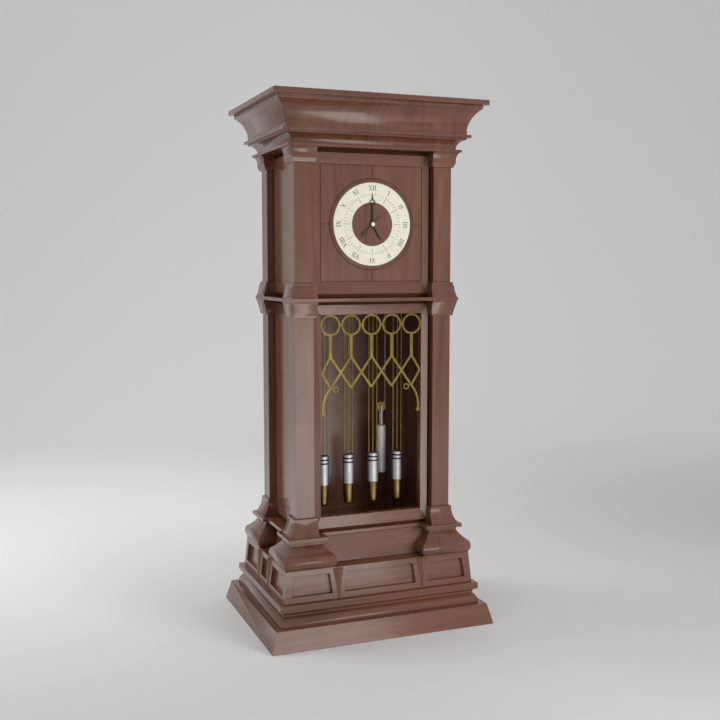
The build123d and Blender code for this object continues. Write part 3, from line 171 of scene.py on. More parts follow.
class Tree:
    """Short calls that add nodes to a node tree and link them."""

    def __init__(self, tree):
        self.tree = tree

    def add(self, kind, **settings):
        node = self.tree.nodes.new(kind)
        for name, value in settings.items():
            setattr(node, name, value)
        return node

    def feed(self, socket, value):
        """Links a socket, or sets its value."""
        if isinstance(value, NodeSocket):
            self.tree.links.new(value, socket)
        else:
            socket.default_value = value

    def math(self, operation, *values, clamp=False):
        node = self.add("ShaderNodeMath", operation=operation, use_clamp=clamp)
        for socket, value in zip(node.inputs, values):
            self.feed(socket, value)
        return node.outputs[0]

    def vector(self, operation, *values):
        node = self.add("ShaderNodeVectorMath", operation=operation)
        for socket, value in zip(node.inputs, values):
            self.feed(socket, value)
        return node.outputs["Vector"]

    def split(self, vector):
        node = self.add("ShaderNodeSeparateXYZ")
        self.feed(node.inputs[0], vector)
        return node.outputs

    def join(self, x, y, z):
        node = self.add("ShaderNodeCombineXYZ")
        for socket, value in zip(node.inputs, (x, y, z)):
            self.feed(socket, value)
        return node.outputs[0]

    def mix(self, factor, a, b, blend="MIX"):
        """Mix of two colours."""
        node = self.add("ShaderNodeMix", data_type="RGBA", blend_type=blend)
        for index, value in ((0, factor), (6, a), (7, b)):
            self.feed(node.inputs[index], value)
        return node.outputs[2]

    def mix_vector(self, factor, a, b):
        node = self.add("ShaderNodeMix", data_type="VECTOR")
        for index, value in ((0, factor), (4, a), (5, b)):
            self.feed(node.inputs[index], value)
        return node.outputs[1]

    def ramp(self, value, low, high, start=0.0, end=1.0):
        """Smooth step of a value between two limits."""
        node = self.add("ShaderNodeMapRange", interpolation_type="SMOOTHSTEP")
        limits = {"Value": value, "From Min": low, "From Max": high, "To Min": start, "To Max": end}
        for name, entry in limits.items():
            self.feed(node.inputs[name], entry)
        return node.outputs["Result"]

    def noise(self, vector, scale, detail=2.0, roughness=0.5):
        node = self.add("ShaderNodeTexNoise")
        entries = {"Vector": vector, "Scale": scale, "Detail": detail, "Roughness": roughness}
        for name, value in entries.items():
            self.feed(node.inputs[name], value)
        return node.outputs[0]

    def bump(self, height, strength, distance):
        node = self.add("ShaderNodeBump")
        for name, value in (("Height", height), ("Strength", strength), ("Distance", distance)):
            self.feed(node.inputs[name], value)
        return node.outputs["Normal"]

    def place(self, group, **values):
        """Node group with its inputs fed; an underscore in a name stands for a space."""
        node = self.add("ShaderNodeGroup", node_tree=group)
        for name, value in values.items():
            self.feed(node.inputs[name.replace("_", " ")], value)
        return node.outputs

    def position(self):
        """Place on the piece at rest, in the shared frame."""
        return self.add("ShaderNodeTexCoord").outputs["Object"]


def new_group(name, inputs, outputs):
    """Empty node group; sockets are pairs of a name and a kind."""
    group = bpy.data.node_groups.new(name, "ShaderNodeTree")
    for direction, sockets in (("INPUT", inputs), ("OUTPUT", outputs)):
        for socket, kind in sockets:
            group.interface.new_socket(name=socket, in_out=direction, socket_type="NodeSocket" + kind)
    tree = Tree(group)
    entry = tree.add("NodeGroupInput").outputs
    leave = tree.add("NodeGroupOutput").inputs
    return group, tree, entry, leave


def shared_group(name, build):
    """Node group of that name, built the first time that it is asked for."""
    return bpy.data.node_groups.get(name) or build(name)


def grain_turn_group(name):
    """Turns a place so that the grain runs along its third coordinate."""
    inputs = [("Position", "Vector"), ("Along X", "Float"), ("Along Y", "Float")]
    group, tree, entry, leave = new_group(name, inputs, [("Grain", "Vector")])
    x, y, z = tree.split(entry["Position"])
    turned = tree.mix_vector(entry["Along X"], entry["Position"], tree.join(y, z, x))
    turned = tree.mix_vector(entry["Along Y"], turned, tree.join(z, x, y))
    tree.feed(leave["Grain"], turned)
    return group


def mitre_group(name):
    """Tells the side runs of a mitred moulding from its front and back runs."""
    inputs = [("Position", "Vector"), ("Offset", "Float")]
    group, tree, entry, leave = new_group(name, inputs, [("Front Run", "Float"), ("Side Run", "Float")])
    x, y, _ = tree.split(entry["Position"])
    difference = tree.math("SUBTRACT", tree.math("ABSOLUTE", x), tree.math("ABSOLUTE", y))
    side = tree.math("GREATER_THAN", difference, entry["Offset"])
    tree.feed(leave["Side Run"], side)
    tree.feed(leave["Front Run"], tree.math("SUBTRACT", 1.0, side))
    return group


def bay_group(name):
    """Tells the rails of a mitred frame from its stiles."""
    sizes = ("Across", "Height", "Half Opening", "Sill", "Head", "Stile", "Bottom Rail", "Top Rail")
    group, tree, entry, leave = new_group(name, [(size, "Float") for size in sizes], [("Rail", "Float")])
    past_stile = tree.math("SUBTRACT", tree.math("ABSOLUTE", entry["Across"]), entry["Half Opening"])
    beside = tree.math("DIVIDE", past_stile, entry["Stile"])
    below = tree.math("DIVIDE", tree.math("SUBTRACT", entry["Sill"], entry["Height"]), entry["Bottom Rail"])
    above = tree.math("DIVIDE", tree.math("SUBTRACT", entry["Height"], entry["Head"]), entry["Top Rail"])
    tree.feed(leave["Rail"], tree.math("GREATER_THAN", tree.math("MAXIMUM", below, above), beside))
    return group


# Wood figure: how the grain is drawn out along a board, and the shares of each layer in its tone and relief
BOARD_DRAW = (1.0, 1.0, 0.10)
STRAND_DRAW = (1.0, 1.0, 0.018)
RING_PHASE = 95.0
BROAD_SHARE = 0.62
RING_SHARE = 0.055
FIBRE_SHARE = 0.38
PORE_SHARE = 0.40
FIBRE_RELIEF = 0.35


def wood_figure_group(name):
    """Growth rings, fibre and pores of a board whose grain runs along the third coordinate."""
    inputs = [("Grain", "Vector"), ("Dark", "Color"), ("Middle", "Color"), ("Light", "Color")]
    outputs = [("Colour", "Color"), ("Tone", "Float"), ("Height", "Float")]
    group, tree, entry, leave = new_group(name, inputs, outputs)
    board = tree.vector("MULTIPLY", entry["Grain"], BOARD_DRAW)
    strand = tree.vector("MULTIPLY", entry["Grain"], STRAND_DRAW)
    broad = tree.noise(board, scale=7.0, detail=3.0, roughness=0.55)
    growth = tree.noise(board, scale=4.5, detail=1.5, roughness=0.4)
    rings = tree.math("SINE", tree.math("MULTIPLY", growth, RING_PHASE))
    fibre = tree.noise(strand, scale=260.0, detail=3.0, roughness=0.6)
    pores = tree.ramp(tree.noise(strand, scale=900.0, detail=1.0, roughness=0.5), low=0.60, high=0.72)
    tone = tree.math("ADD", tree.math("MULTIPLY", broad, BROAD_SHARE),
                     tree.math("MULTIPLY", rings, RING_SHARE))
    tone = tree.math("ADD", tone, tree.math("MULTIPLY", fibre, FIBRE_SHARE))
    lower = tree.mix(tree.ramp(tone, low=0.28, high=0.52), entry["Dark"], entry["Middle"])
    figured = tree.mix(tree.ramp(tone, low=0.50, high=0.74), lower, entry["Light"])
    pore_share = tree.math("MULTIPLY", pores, PORE_SHARE)
    tree.feed(leave["Colour"], tree.mix(pore_share, figured, entry["Dark"]))
    tree.feed(leave["Tone"], tone)
    relief = tree.math("MULTIPLY", fibre, FIBRE_RELIEF)
    tree.feed(leave["Height"], tree.math("SUBTRACT", relief, pore_share))
    return group


SCRATCH_DEPTH = 0.6
DENT_DEPTH = 0.4


def hairline_group(name):
    """Sparse curved hairline scratches and soft dents."""
    outputs = [("Mask", "Float"), ("Height", "Float")]
    group, tree, entry, leave = new_group(name, [("Position", "Vector")], outputs)
    place = entry["Position"]
    wander = tree.noise(place, scale=16.0, detail=1.0, roughness=0.4)
    line = tree.math("ABSOLUTE", tree.math("SUBTRACT", wander, 0.5))
    thin = tree.ramp(line, low=0.0012, high=0.0045, start=1.0, end=0.0)
    patch = tree.ramp(tree.noise(place, scale=13.0, detail=0.0, roughness=0.5), low=0.66, high=0.70)
    mask = tree.math("MULTIPLY", thin, patch)
    dents = tree.ramp(tree.noise(place, scale=38.0, detail=1.0, roughness=0.5), low=0.70, high=0.82)
    tree.feed(leave["Mask"], mask)
    depth = tree.math("ADD", tree.math("MULTIPLY", mask, SCRATCH_DEPTH),
                      tree.math("MULTIPLY", dents, DENT_DEPTH))
    tree.feed(leave["Height"], tree.math("MULTIPLY", depth, -1.0))
    return group


def patina_group(name):
    """Cloudy tarnish with fine specks."""
    outputs = [("Cloud", "Float"), ("Speck", "Float")]
    group, tree, entry, leave = new_group(name, [("Position", "Vector")], outputs)
    cloud = tree.noise(entry["Position"], scale=28.0, detail=4.0, roughness=0.6)
    speck = tree.noise(entry["Position"], scale=420.0, detail=2.0, roughness=0.6)
    tree.feed(leave["Cloud"], tree.ramp(cloud, low=0.36, high=0.66))
    tree.feed(leave["Speck"], tree.ramp(speck, low=0.56, high=0.70))
    return group


LATHE_DRAW = (0.02, 0.02, 1.0)


def turning_group(name):
    """Fine rings left by the lathe on a piece whose axis is upright."""
    group, tree, entry, leave = new_group(name, [("Position", "Vector")], [("Ring", "Float")])
    drawn = tree.vector("MULTIPLY", entry["Position"], LATHE_DRAW)
    tree.feed(leave["Ring"], tree.noise(drawn, scale=1400.0, detail=2.0, roughness=0.6))
    return group


# Finishes

def new_finish(name):
    """New material with its node tree and shader."""
    material = bpy.data.materials.new(name)
    material.use_nodes = True
    return material, Tree(material.node_tree), material.node_tree.nodes["Principled BSDF"].inputs


def upright_run(tree, position):
    return position


def turned_run(tree, position, along_x, along_y):
    group = shared_group("Grain Turn", grain_turn_group)
    return tree.place(group, Position=position, Along_X=along_x, Along_Y=along_y)["Grain"]


def across_run(tree, position):
    """Grain along the width of the clock."""
    return turned_run(tree, position, 1.0, 0.0)


def mitred_run(tree, position):
    """Grain along each length of a mitred moulding."""
    sides = tree.place(shared_group("Mitred Run", mitre_group), Position=position, Offset=MITRE_OFFSET)
    return turned_run(tree, position, sides["Front Run"], sides["Side Run"])


def bay_rails(tree, across, height, half_span, low, high, rails):
    """Mask of the rails of one framed bay."""
    bottom, top = rails
    sizes = {"Half_Opening": half_span - STILE, "Sill": low + bottom, "Head": high - top, "Stile": STILE,
             "Bottom_Rail": bottom, "Top_Rail": top}
    return tree.place(shared_group("Framed Bay", bay_group), Across=across, Height=height, **sizes)["Rail"]


def trunk_front_run(tree, position):
    x, _, z = tree.split(position)
    rails = bay_rails(tree, x, z, TRUNK_HIGH.x, TRUNK_LOW.z, TRUNK_HIGH.z, TRUNK_RAILS)
    return turned_run(tree, position, rails, 0.0)


def hood_front_run(tree, position):
    x, _, z = tree.split(position)
    rails = bay_rails(tree, x, z, HOOD_HIGH.x, HOOD_LOW.z, HOOD_HIGH.z, HOOD_RAILS)
    return turned_run(tree, position, rails, 0.0)


def side_run(tree, position):
    _, y, z = tree.split(position)
    lower = bay_rails(tree, y, z, SIDE_HALF_SPAN, TRUNK_LOW.z, TRUNK_HIGH.z, TRUNK_RAILS)
    upper = bay_rails(tree, y, z, SIDE_HALF_SPAN, HOOD_LOW.z, HOOD_HIGH.z, HOOD_RAILS)
    in_hood = tree.math("GREATER_THAN", z, (TRUNK_HIGH.z + HOOD_LOW.z) / 2)
    outside = tree.math("SUBTRACT", 1.0, in_hood)
    rails = tree.math("ADD", tree.math("MULTIPLY", lower, outside), tree.math("MULTIPLY", upper, in_hood))
    return turned_run(tree, position, 0.0, rails)


# Polish: light in the scratches, what rubbing and tone add to the roughness, relief of the figure, bump
# (strength and depth in metres) and roughness of the clear coat
SCRATCH_LIGHT = 0.15
RUB_ROUGHNESS = 0.12
TONE_ROUGHNESS = 0.08
FIGURE_RELIEF = 0.5
WOOD_BUMP = (0.35, 0.0004)
COAT_ROUGHNESS = 0.12


def wood_finish(name, run, tones, gloss, coat=0.0):
    """Polished timber whose grain follows a run; gloss is its least roughness, coat its clear coat."""
    material, tree, shader = new_finish(name)
    position = tree.position()
    dark, middle, light = [(*tone, 1.0) for tone in tones]
    figure = tree.place(shared_group("Wood Figure", wood_figure_group), Grain=run(tree, position),
                        Dark=dark, Middle=middle, Light=light)
    marks = tree.place(shared_group("Hairline Marks", hairline_group), Position=position)
    scratched = tree.math("MULTIPLY", marks["Mask"], SCRATCH_LIGHT)
    tree.feed(shader["Base Color"], tree.mix(scratched, figure["Colour"], light))
    rubbed = tree.math("MULTIPLY", tree.noise(position, scale=11.0, detail=3.0, roughness=0.6), RUB_ROUGHNESS)
    toned = tree.math("MULTIPLY", figure["Tone"], TONE_ROUGHNESS)
    tree.feed(shader["Roughness"], tree.math("ADD", tree.math("ADD", rubbed, toned), gloss))
    height = tree.math("ADD", tree.math("MULTIPLY", figure["Height"], FIGURE_RELIEF), marks["Height"])
    tree.feed(shader["Normal"], tree.bump(height, *WOOD_BUMP))
    shader["Coat Weight"].default_value = coat
    shader["Coat Roughness"].default_value = COAT_ROUGHNESS
    return material


# Painted shade on a round piece of metal towards its outline, standing in for a dark reflection:
# how far it turns away where this starts and ends, and the tone there
RIM_FACING = (0.15, 0.55)
PAINTED_RIM_SHADE_TONE = 0.12
# Metal: tone of the tarnish, what clouds and specks add to the roughness, relief of specks and lathe rings
# on turned pieces, and bump (strength and depth in metres)
DULL_TONE = 0.55
CLOUD_ROUGHNESS = 0.10
SPECK_ROUGHNESS = 0.05
SPECK_RELIEF = 0.2
RING_RELIEF = 0.4
METAL_BUMP = (0.12, 0.0001)


def metal_finish(name, tone, tarnish, gloss, turned=False, share=1.0, painted_rim_shade=0.0):
    """Metal with cloudy tarnish.

    Turned metal shows the rings of the lathe, a share below 1 is satin, and a painted shade darkens the
    outline, standing in for a dark reflection.
    """
    material, tree, shader = new_finish(name)
    position = tree.position()
    patina = tree.place(shared_group("Patina", patina_group), Position=position)
    shade = tree.math("MULTIPLY", patina["Cloud"], tarnish)
    dull = tuple(DULL_TONE * part for part in tone)
    base = tree.mix(shade, (*tone, 1.0), (*dull, 1.0))
    # Painted shade: the outline is darkened in the colour, as a dark reflection would darken it
    if painted_rim_shade:
        facing = tree.add("ShaderNodeLayerWeight").outputs["Facing"]
        dark = tuple(PAINTED_RIM_SHADE_TONE * part for part in tone)
        base = tree.mix(tree.ramp(facing, *RIM_FACING, 0.0, painted_rim_shade), base, (*dark, 1.0))
    tree.feed(shader["Base Color"], base)
    shader["Metallic"].default_value = share
    clouded = tree.math("MULTIPLY", patina["Cloud"], CLOUD_ROUGHNESS)
    specked = tree.math("MULTIPLY", patina["Speck"], SPECK_ROUGHNESS)
    tree.feed(shader["Roughness"], tree.math("ADD", tree.math("ADD", clouded, specked), gloss))
    height = patina["Speck"]
    if turned:
        ring = tree.place(shared_group("Lathe Rings", turning_group), Position=position)["Ring"]
        height = tree.math("ADD", tree.math("MULTIPLY", height, SPECK_RELIEF),
                           tree.math("MULTIPLY", ring, RING_RELIEF))
    tree.feed(shader["Normal"], tree.bump(height, *METAL_BUMP))
    return material


WORN_TONE = 0.80
ENAMEL_BUMP = (0.06, 0.0001)


def enamel_finish(name, tone, gloss, fade):
    """Painted metal whose colour is slightly uneven."""
    material, tree, shader = new_finish(name)
    position = tree.position()
    patina = tree.place(shared_group("Patina", patina_group), Position=position)
    uneven = tree.math("MULTIPLY", patina["Cloud"], fade)
    worn = tuple(WORN_TONE * part for part in tone)
    tree.feed(shader["Base Color"], tree.mix(uneven, (*tone, 1.0), (*worn, 1.0)))
    clouded = tree.math("MULTIPLY", patina["Cloud"], CLOUD_ROUGHNESS)
    tree.feed(shader["Roughness"], tree.math("ADD", clouded, gloss))
    tree.feed(shader["Normal"], tree.bump(patina["Speck"], *ENAMEL_BUMP))
    return material


def put_finish(node, material):
    """Gives a frame node its finish."""
    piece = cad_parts[node]
    if not piece.material_slots:
        piece.data.materials.append(material)
    for slot in piece.material_slots:
        slot.material = material


# Rounding of arrises: distance at which edges are joined first, facets, and least turn in degrees
JOIN_DISTANCE = 0.00002
ARRIS_FACETS = 2
ARRIS_TURN = 38


def soften(node, arris):
    """Rounds the arrises of a frame node."""
    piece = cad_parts[node]
    weld = piece.modifiers.new("Joined edges", "WELD")
    weld.merge_threshold = JOIN_DISTANCE
    bevel = piece.modifiers.new("Arris", "BEVEL")
    bevel.offset_type = "WIDTH"
    bevel.width = arris
    bevel.segments = ARRIS_FACETS
    bevel.limit_method = "ANGLE"
    bevel.angle_limit = radians(ARRIS_TURN)
    bevel.harden_normals = True


# Mesh work

def new_piece(name, mesh, material, body):
    """Object made from a finished bmesh, riding on a body."""
    data = bpy.data.meshes.new(name)
    bmesh.ops.recalc_face_normals(mesh, faces=mesh.faces)
    mesh.to_mesh(data)
    mesh.free()
    data.materials.append(material)
    piece = bpy.data.objects.new(name, data)
    bpy.context.scene.collection.objects.link(piece)
    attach(piece, body)
    return piece


def add_prism(mesh, corners, back_y, front_y):
    """Raised flat shape on the dial's face, from corners given as (x, z)."""
    back = [mesh.verts.new((x, back_y, z)) for x, z in corners]
    front = [mesh.verts.new((x, front_y, z)) for x, z in corners]
    mesh.faces.new(front)
    mesh.faces.new(back[::-1])
    for index in range(len(corners)):
        after = (index + 1) % len(corners)
        mesh.faces.new((front[index], front[after], back[after], back[index]))


def bar_corners(start, end, width):
    """Corners of a straight bar of a given width between two points."""
    along = Vector(end) - Vector(start)
    aside = Vector((-along.y, along.x)).normalized() * (width / 2)
    return [Vector(start) - aside, Vector(end) - aside, Vector(end) + aside, Vector(start) + aside]


def dial_point(turn, radius, aside=0.0):
    """Point (x, z) on the dial, clockwise from twelve, with a step to the right of the spoke."""
    return (DIAL_CENTRE.x + radius * sin(turn) + aside * cos(turn),
            DIAL_CENTRE.z + radius * cos(turn) - aside * sin(turn))


LATHE_SIDES = 64


def lathe(mesh, centre, outline):
    """Closed ring turned about an upright axis from (radius, z) points."""
    rows = []
    for index in range(LATHE_SIDES):
        turn = 2 * pi * index / LATHE_SIDES
        rows.append([mesh.verts.new((centre.x + radius * cos(turn), centre.y + radius * sin(turn), z))
                     for radius, z in outline])
    for index, row in enumerate(rows):
        following = rows[(index + 1) % LATHE_SIDES]
        for point in range(len(outline)):
            after = (point + 1) % len(outline)
            mesh.faces.new((row[point], row[after], following[after], following[point]))


def smooth(piece):
    """Shades a piece as a curved surface."""
    for face in piece.data.polygons:
        face.use_smooth = True


# Numerals as strokes on a unit height: advance, then (start, end, width) of each stroke
THICK = 0.12
THIN = 0.055
SERIF = 0.05
NUMERAL_STROKES = {
    "I": (0.36, [((0.18, 0.0), (0.18, 1.0), THICK), ((0.06, 0.0), (0.30, 0.0), SERIF),
                 ((0.06, 1.0), (0.30, 1.0), SERIF)]),
    "V": (0.70, [((0.12, 1.0), (0.35, 0.0), THICK), ((0.58, 1.0), (0.35, 0.0), THIN),
                 ((0.02, 1.0), (0.24, 1.0), SERIF), ((0.48, 1.0), (0.68, 1.0), SERIF)]),
    "X": (0.74, [((0.13, 1.0), (0.61, 0.0), THICK), ((0.61, 1.0), (0.13, 0.0), THIN),
                 ((0.03, 1.0), (0.25, 1.0), SERIF), ((0.51, 1.0), (0.71, 1.0), SERIF),
                 ((0.03, 0.0), (0.23, 0.0), SERIF), ((0.49, 0.0), (0.71, 0.0), SERIF)]),
}
NUMERALS = ("XII", "I", "II", "III", "IIII", "V", "VI", "VII", "VIII", "IX", "X", "XI")
HOURS = 12
MINUTES = 60


def add_numeral(mesh, text, turn, dial):
    """Roman numeral that stands on its spoke with its foot to the centre."""
    width = sum(NUMERAL_STROKES[letter][0] for letter in text)
    reach = -width / 2
    for letter in text:
        advance, strokes = NUMERAL_STROKES[letter]
        for start, end, thick in strokes:
            corners = []
            for corner in bar_corners(start, end, thick):
                aside = (reach + corner.x) * dial.numeral_height * dial.numeral_stretch
                radius = dial.numeral_radius + (corner.y - 0.5) * dial.numeral_height
                corners.append(dial_point(turn, radius, aside))
            add_prism(mesh, corners, DIAL_FACE_Y, DIAL_FACE_Y - dial.ink_height)
        reach += advance


def add_mark(mesh, turn, inner, outer, dial):
    """Radial mark on the chapter ring."""
    half = dial.mark_width / 2
    corners = [dial_point(turn, inner, -half), dial_point(turn, outer, -half),
               dial_point(turn, outer, half), dial_point(turn, inner, half)]
    add_prism(mesh, corners, DIAL_FACE_Y, DIAL_FACE_Y - dial.ink_height)


# Lines

LINE_SIDES = 12
RINGS_PER_LAY = 8


def add_line(mesh, stations, radius, metal):
    """Twisted line through stations of (centre, first axis, second axis, length so far)."""
    rows = []
    for centre, first, second, travelled in stations:
        twist = 2 * pi * travelled / metal.line_lay
        row = []
        for side in range(LINE_SIDES):
            turn = 2 * pi * side / LINE_SIDES
            lobe = abs(cos(metal.line_strands / 2 * (turn - twist)))
            reach = radius * (1 - metal.line_groove * (1 - lobe))
            row.append(mesh.verts.new(centre + first * (reach * cos(turn)) + second * (reach * sin(turn))))
        rows.append(row)
    for row, following in zip(rows, rows[1:]):
        for side in range(LINE_SIDES):
            after = (side + 1) % LINE_SIDES
            mesh.faces.new((row[side], row[after], following[after], following[side]))
    for row in (rows[0], rows[-1]):
        mesh.faces.new(row)


def upright_stations(x, y, foot, head, lay):
    count = ceil((head - foot) / lay * RINGS_PER_LAY)
    step = (head - foot) / count
    return [(Vector((x, y, foot + index * step)), Vector((1, 0, 0)), Vector((0, 1, 0)), index * step)
            for index in range(count + 1)]


def bight_stations(centre, radius, lay):
    """Half circle under the sheave, from its left side to its right."""
    count = ceil(pi * radius / lay * RINGS_PER_LAY)
    stations = []
    for index in range(count + 1):
        turn = pi + pi * index / count
        outward = Vector((cos(turn), 0, sin(turn)))
        stations.append((centre + outward * radius, outward, Vector((0, 1, 0)), pi * radius * index / count))
    return stations


def hang(piece):
    """Gives a line its own copy of its mesh; the line keeps its length here."""
    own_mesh(piece)


# Operators

UPRIGHT_TIMBER = ("lower_posts", "upper_posts", "side_panels", "dial_panel", "dial_drum", "cornice_crown",
                  "cornice_bed", "pier_cushions", "pedestal_ribs")
MITRED_TIMBER = ("base_plinth", "base_moulding", "pedestal_die", "frieze_boards", "belt_slab")
ACROSS_TIMBER = ("plinth_slab", "pedestal_deck", "sill_plate", "top_board")
WALNUT_RUNS = {
    "Walnut Upright": (upright_run, UPRIGHT_TIMBER),
    "Walnut Mitred": (mitred_run, MITRED_TIMBER),
    "Walnut Across": (across_run, ACROSS_TIMBER),
    "Walnut Trunk Frame": (trunk_front_run, ("trunk_frame",)),
    "Walnut Hood Frame": (hood_front_run, ("hood_frame",)),
    "Walnut Side Frames": (side_run, ("side_frames",)),
}
WALNUT_GLOSS = 0.14
WALNUT_COAT = 0.40
SOFTWOOD_GLOSS = 0.55


class HALLCLOCK_OT_finish_case(Operator):
    """Polishes the walnut of the case, with grain that follows each timber"""

    bl_idname = "hall_clock.finish_case"
    bl_label = "Finish Case"

    def execute(self, context):
        wood = context.scene.hall_clock_wood
        tones = (wood.walnut_dark, wood.walnut_middle, wood.walnut_light)
        for name, (run, nodes) in WALNUT_RUNS.items():
            material = wood_finish(name, run, tones, WALNUT_GLOSS, WALNUT_COAT)
            for node in nodes:
                put_finish(node, material)
                soften(node, wood.arris)
        return {"FINISHED"}


class HALLCLOCK_OT_finish_hidden_boards(Operator):
    """Stains the boards behind and inside the case"""

    bl_idname = "hall_clock.finish_hidden_boards"
    bl_label = "Finish Hidden Boards"

    def execute(self, context):
        wood = context.scene.hall_clock_wood
        stained = (wood.walnut_dark, wood.walnut_middle, wood.walnut_light)
        upright = wood_finish("Stained Upright", upright_run, stained, WALNUT_GLOSS, WALNUT_COAT)
        put_finish("back_boards", upright)
        tones = (wood.pine_dark, wood.pine_middle, wood.pine_light)
        across = wood_finish("Softwood Across", across_run, tones, SOFTWOOD_GLOSS)
        for node in ("seatboard", "seat_cleats"):
            put_finish(node, across)
        return {"FINISHED"}


class HALLCLOCK_OT_finish_dial(Operator):
    """Enamels the chapter ring and blackens the hands"""

    bl_idname = "hall_clock.finish_dial"
    bl_label = "Finish Dial"

    def execute(self, context):
        dial = context.scene.hall_clock_dial
        metal = context.scene.hall_clock_metal
        cream = enamel_finish("Dial Enamel", dial.cream, gloss=0.42, fade=0.35)
        black = enamel_finish("Hand Black", dial.hand_black, gloss=0.30, fade=0.5)
        brown = enamel_finish("Hand Brown", dial.hand_brown, gloss=0.38, fade=0.5)
        for node, material in (("chapter_ring", cream), ("centre_cap", cream), ("hour_hand", black),
                               ("minute_hand", black), ("seconds_hand", brown)):
            put_finish(node, material)
            soften(node, metal.arris)
        return {"FINISHED"}


class HALLCLOCK_OT_mark_dial(Operator):
    """Paints the numerals and the hour and minute marks on the chapter ring"""

    bl_idname = "hall_clock.mark_dial"
    bl_label = "Mark Dial"

    def execute(self, context):
        dial = context.scene.hall_clock_dial
        ink = enamel_finish("Dial Ink", dial.ink, gloss=0.55, fade=0.3)
        numerals = bmesh.new()
        for hour, text in enumerate(NUMERALS):
            add_numeral(numerals, text, 2 * pi * hour / HOURS, dial)
        new_piece("dial_numerals", numerals, ink, "case")
        marks = bmesh.new()
        for minute in range(MINUTES):
            turn = 2 * pi * minute / MINUTES
            if minute % (MINUTES // HOURS) == 0:
                add_mark(marks, turn, dial.hour_mark_inner, dial.hour_mark_outer, dial)
            else:
                add_mark(marks, turn, dial.minute_mark_inner, dial.minute_mark_outer, dial)
        new_piece("dial_marks", marks, ink, "case")
        return {"FINISHED"}


MOVEMENT_BRASS = ("movement_frame", "suspension_cock", "cannon_pinion", "hour_wheel", "minute_wheel",
                  "centre_wheel", "third_wheel", "escape_wheel", "great_wheel", "pendulum_bob", "rating_nut")
MOVEMENT_STEEL = ("seconds_arbor", "anchor", "pendulum_rod")


class HALLCLOCK_OT_finish_movement(Operator):
    """Finishes the brass and steel of the movement and pendulum"""

    bl_idname = "hall_clock.finish_movement"
    bl_label = "Finish Movement"

    def execute(self, context):
        metal = context.scene.hall_clock_metal
        brass = metal_finish("Movement Brass", metal.movement_brass, tarnish=0.35, gloss=0.22)
        steel = metal_finish("Bright Steel", metal.steel, tarnish=0.25, gloss=0.25)
        for nodes, material in ((MOVEMENT_BRASS, brass), (MOVEMENT_STEEL, steel)):
            for node in nodes:
                put_finish(node, material)
        return {"FINISHED"}


class HALLCLOCK_OT_finish_fret(Operator):
    """Ages the brass of the fret in the head of the trunk opening"""

    bl_idname = "hall_clock.finish_fret"
    bl_label = "Finish Fret"

    def execute(self, context):
        metal = context.scene.hall_clock_metal
        put_finish("fret", metal_finish("Fret Brass", metal.fret_brass, tarnish=0.45, gloss=0.36))
        soften("fret", metal.arris)
        return {"FINISHED"}


# Black rings on a weight: depth of each ring's top below the head of the shell, and its height
WEIGHT_BANDS = ((0.0102, 0.0068), (0.0250, 0.0068))
BAND_PROUD = 0.0003
BAND_DEEP = 0.0012
BAND_ROUND = 0.0006
# Metal's share in the satin silver
SILVER_SHARE = 0.55


class HALLCLOCK_OT_finish_weights(Operator):
    """Silvers the weights and adds their brass ends and black rings"""

    bl_idname = "hall_clock.finish_weights"
    bl_label = "Finish Weights"

    def execute(self, context):
        metal = context.scene.hall_clock_metal
        # Painted shade along the outlines of the silver weights and brass ends, standing in for a dark
        # reflection
        silver = metal_finish("Turned Silver", metal.silver, tarnish=0.20, gloss=0.38, turned=True,
                              share=SILVER_SHARE, painted_rim_shade=0.85)
        bright = metal_finish("Drive Silver", metal.drive_silver, tarnish=0.15, gloss=0.42, turned=True,
                              share=0.15, painted_rim_shade=0.25)
        brass = metal_finish("Weight Brass", metal.tip_brass, tarnish=0.40, gloss=0.34, turned=True, painted_rim_shade=0.5)
        black = enamel_finish("Band Black", metal.band_black, gloss=0.28, fade=0.4)
        for number in WEIGHT_NUMBERS:
            put_finish(f"weight_{number}", silver)
            put_finish(f"weight_tip_{number}", brass)
            self.add_bands(number, black)
        for node in ("drive_weight", "drive_stirrup"):
            put_finish(node, bright)
        put_finish("sheave", brass)
        return {"FINISHED"}

    def add_bands(self, number, material):
        low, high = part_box(f"weight_{number}")
        centre = (low + high) / 2
        outer = (high.x - low.x) / 2 + BAND_PROUD
        mesh = bmesh.new()
        for drop, height in WEIGHT_BANDS:
            top = high.z - drop
            foot = top - height
            outline = [(outer - BAND_DEEP, foot), (outer - BAND_ROUND, foot), (outer, foot + BAND_ROUND),
                       (outer, top - BAND_ROUND), (outer - BAND_ROUND, top), (outer - BAND_DEEP, top)]
            lathe(mesh, centre, outline)
        piece = new_piece(f"weight_bands_{number}", mesh, material, f"weight_group_{number}")
        smooth(piece)


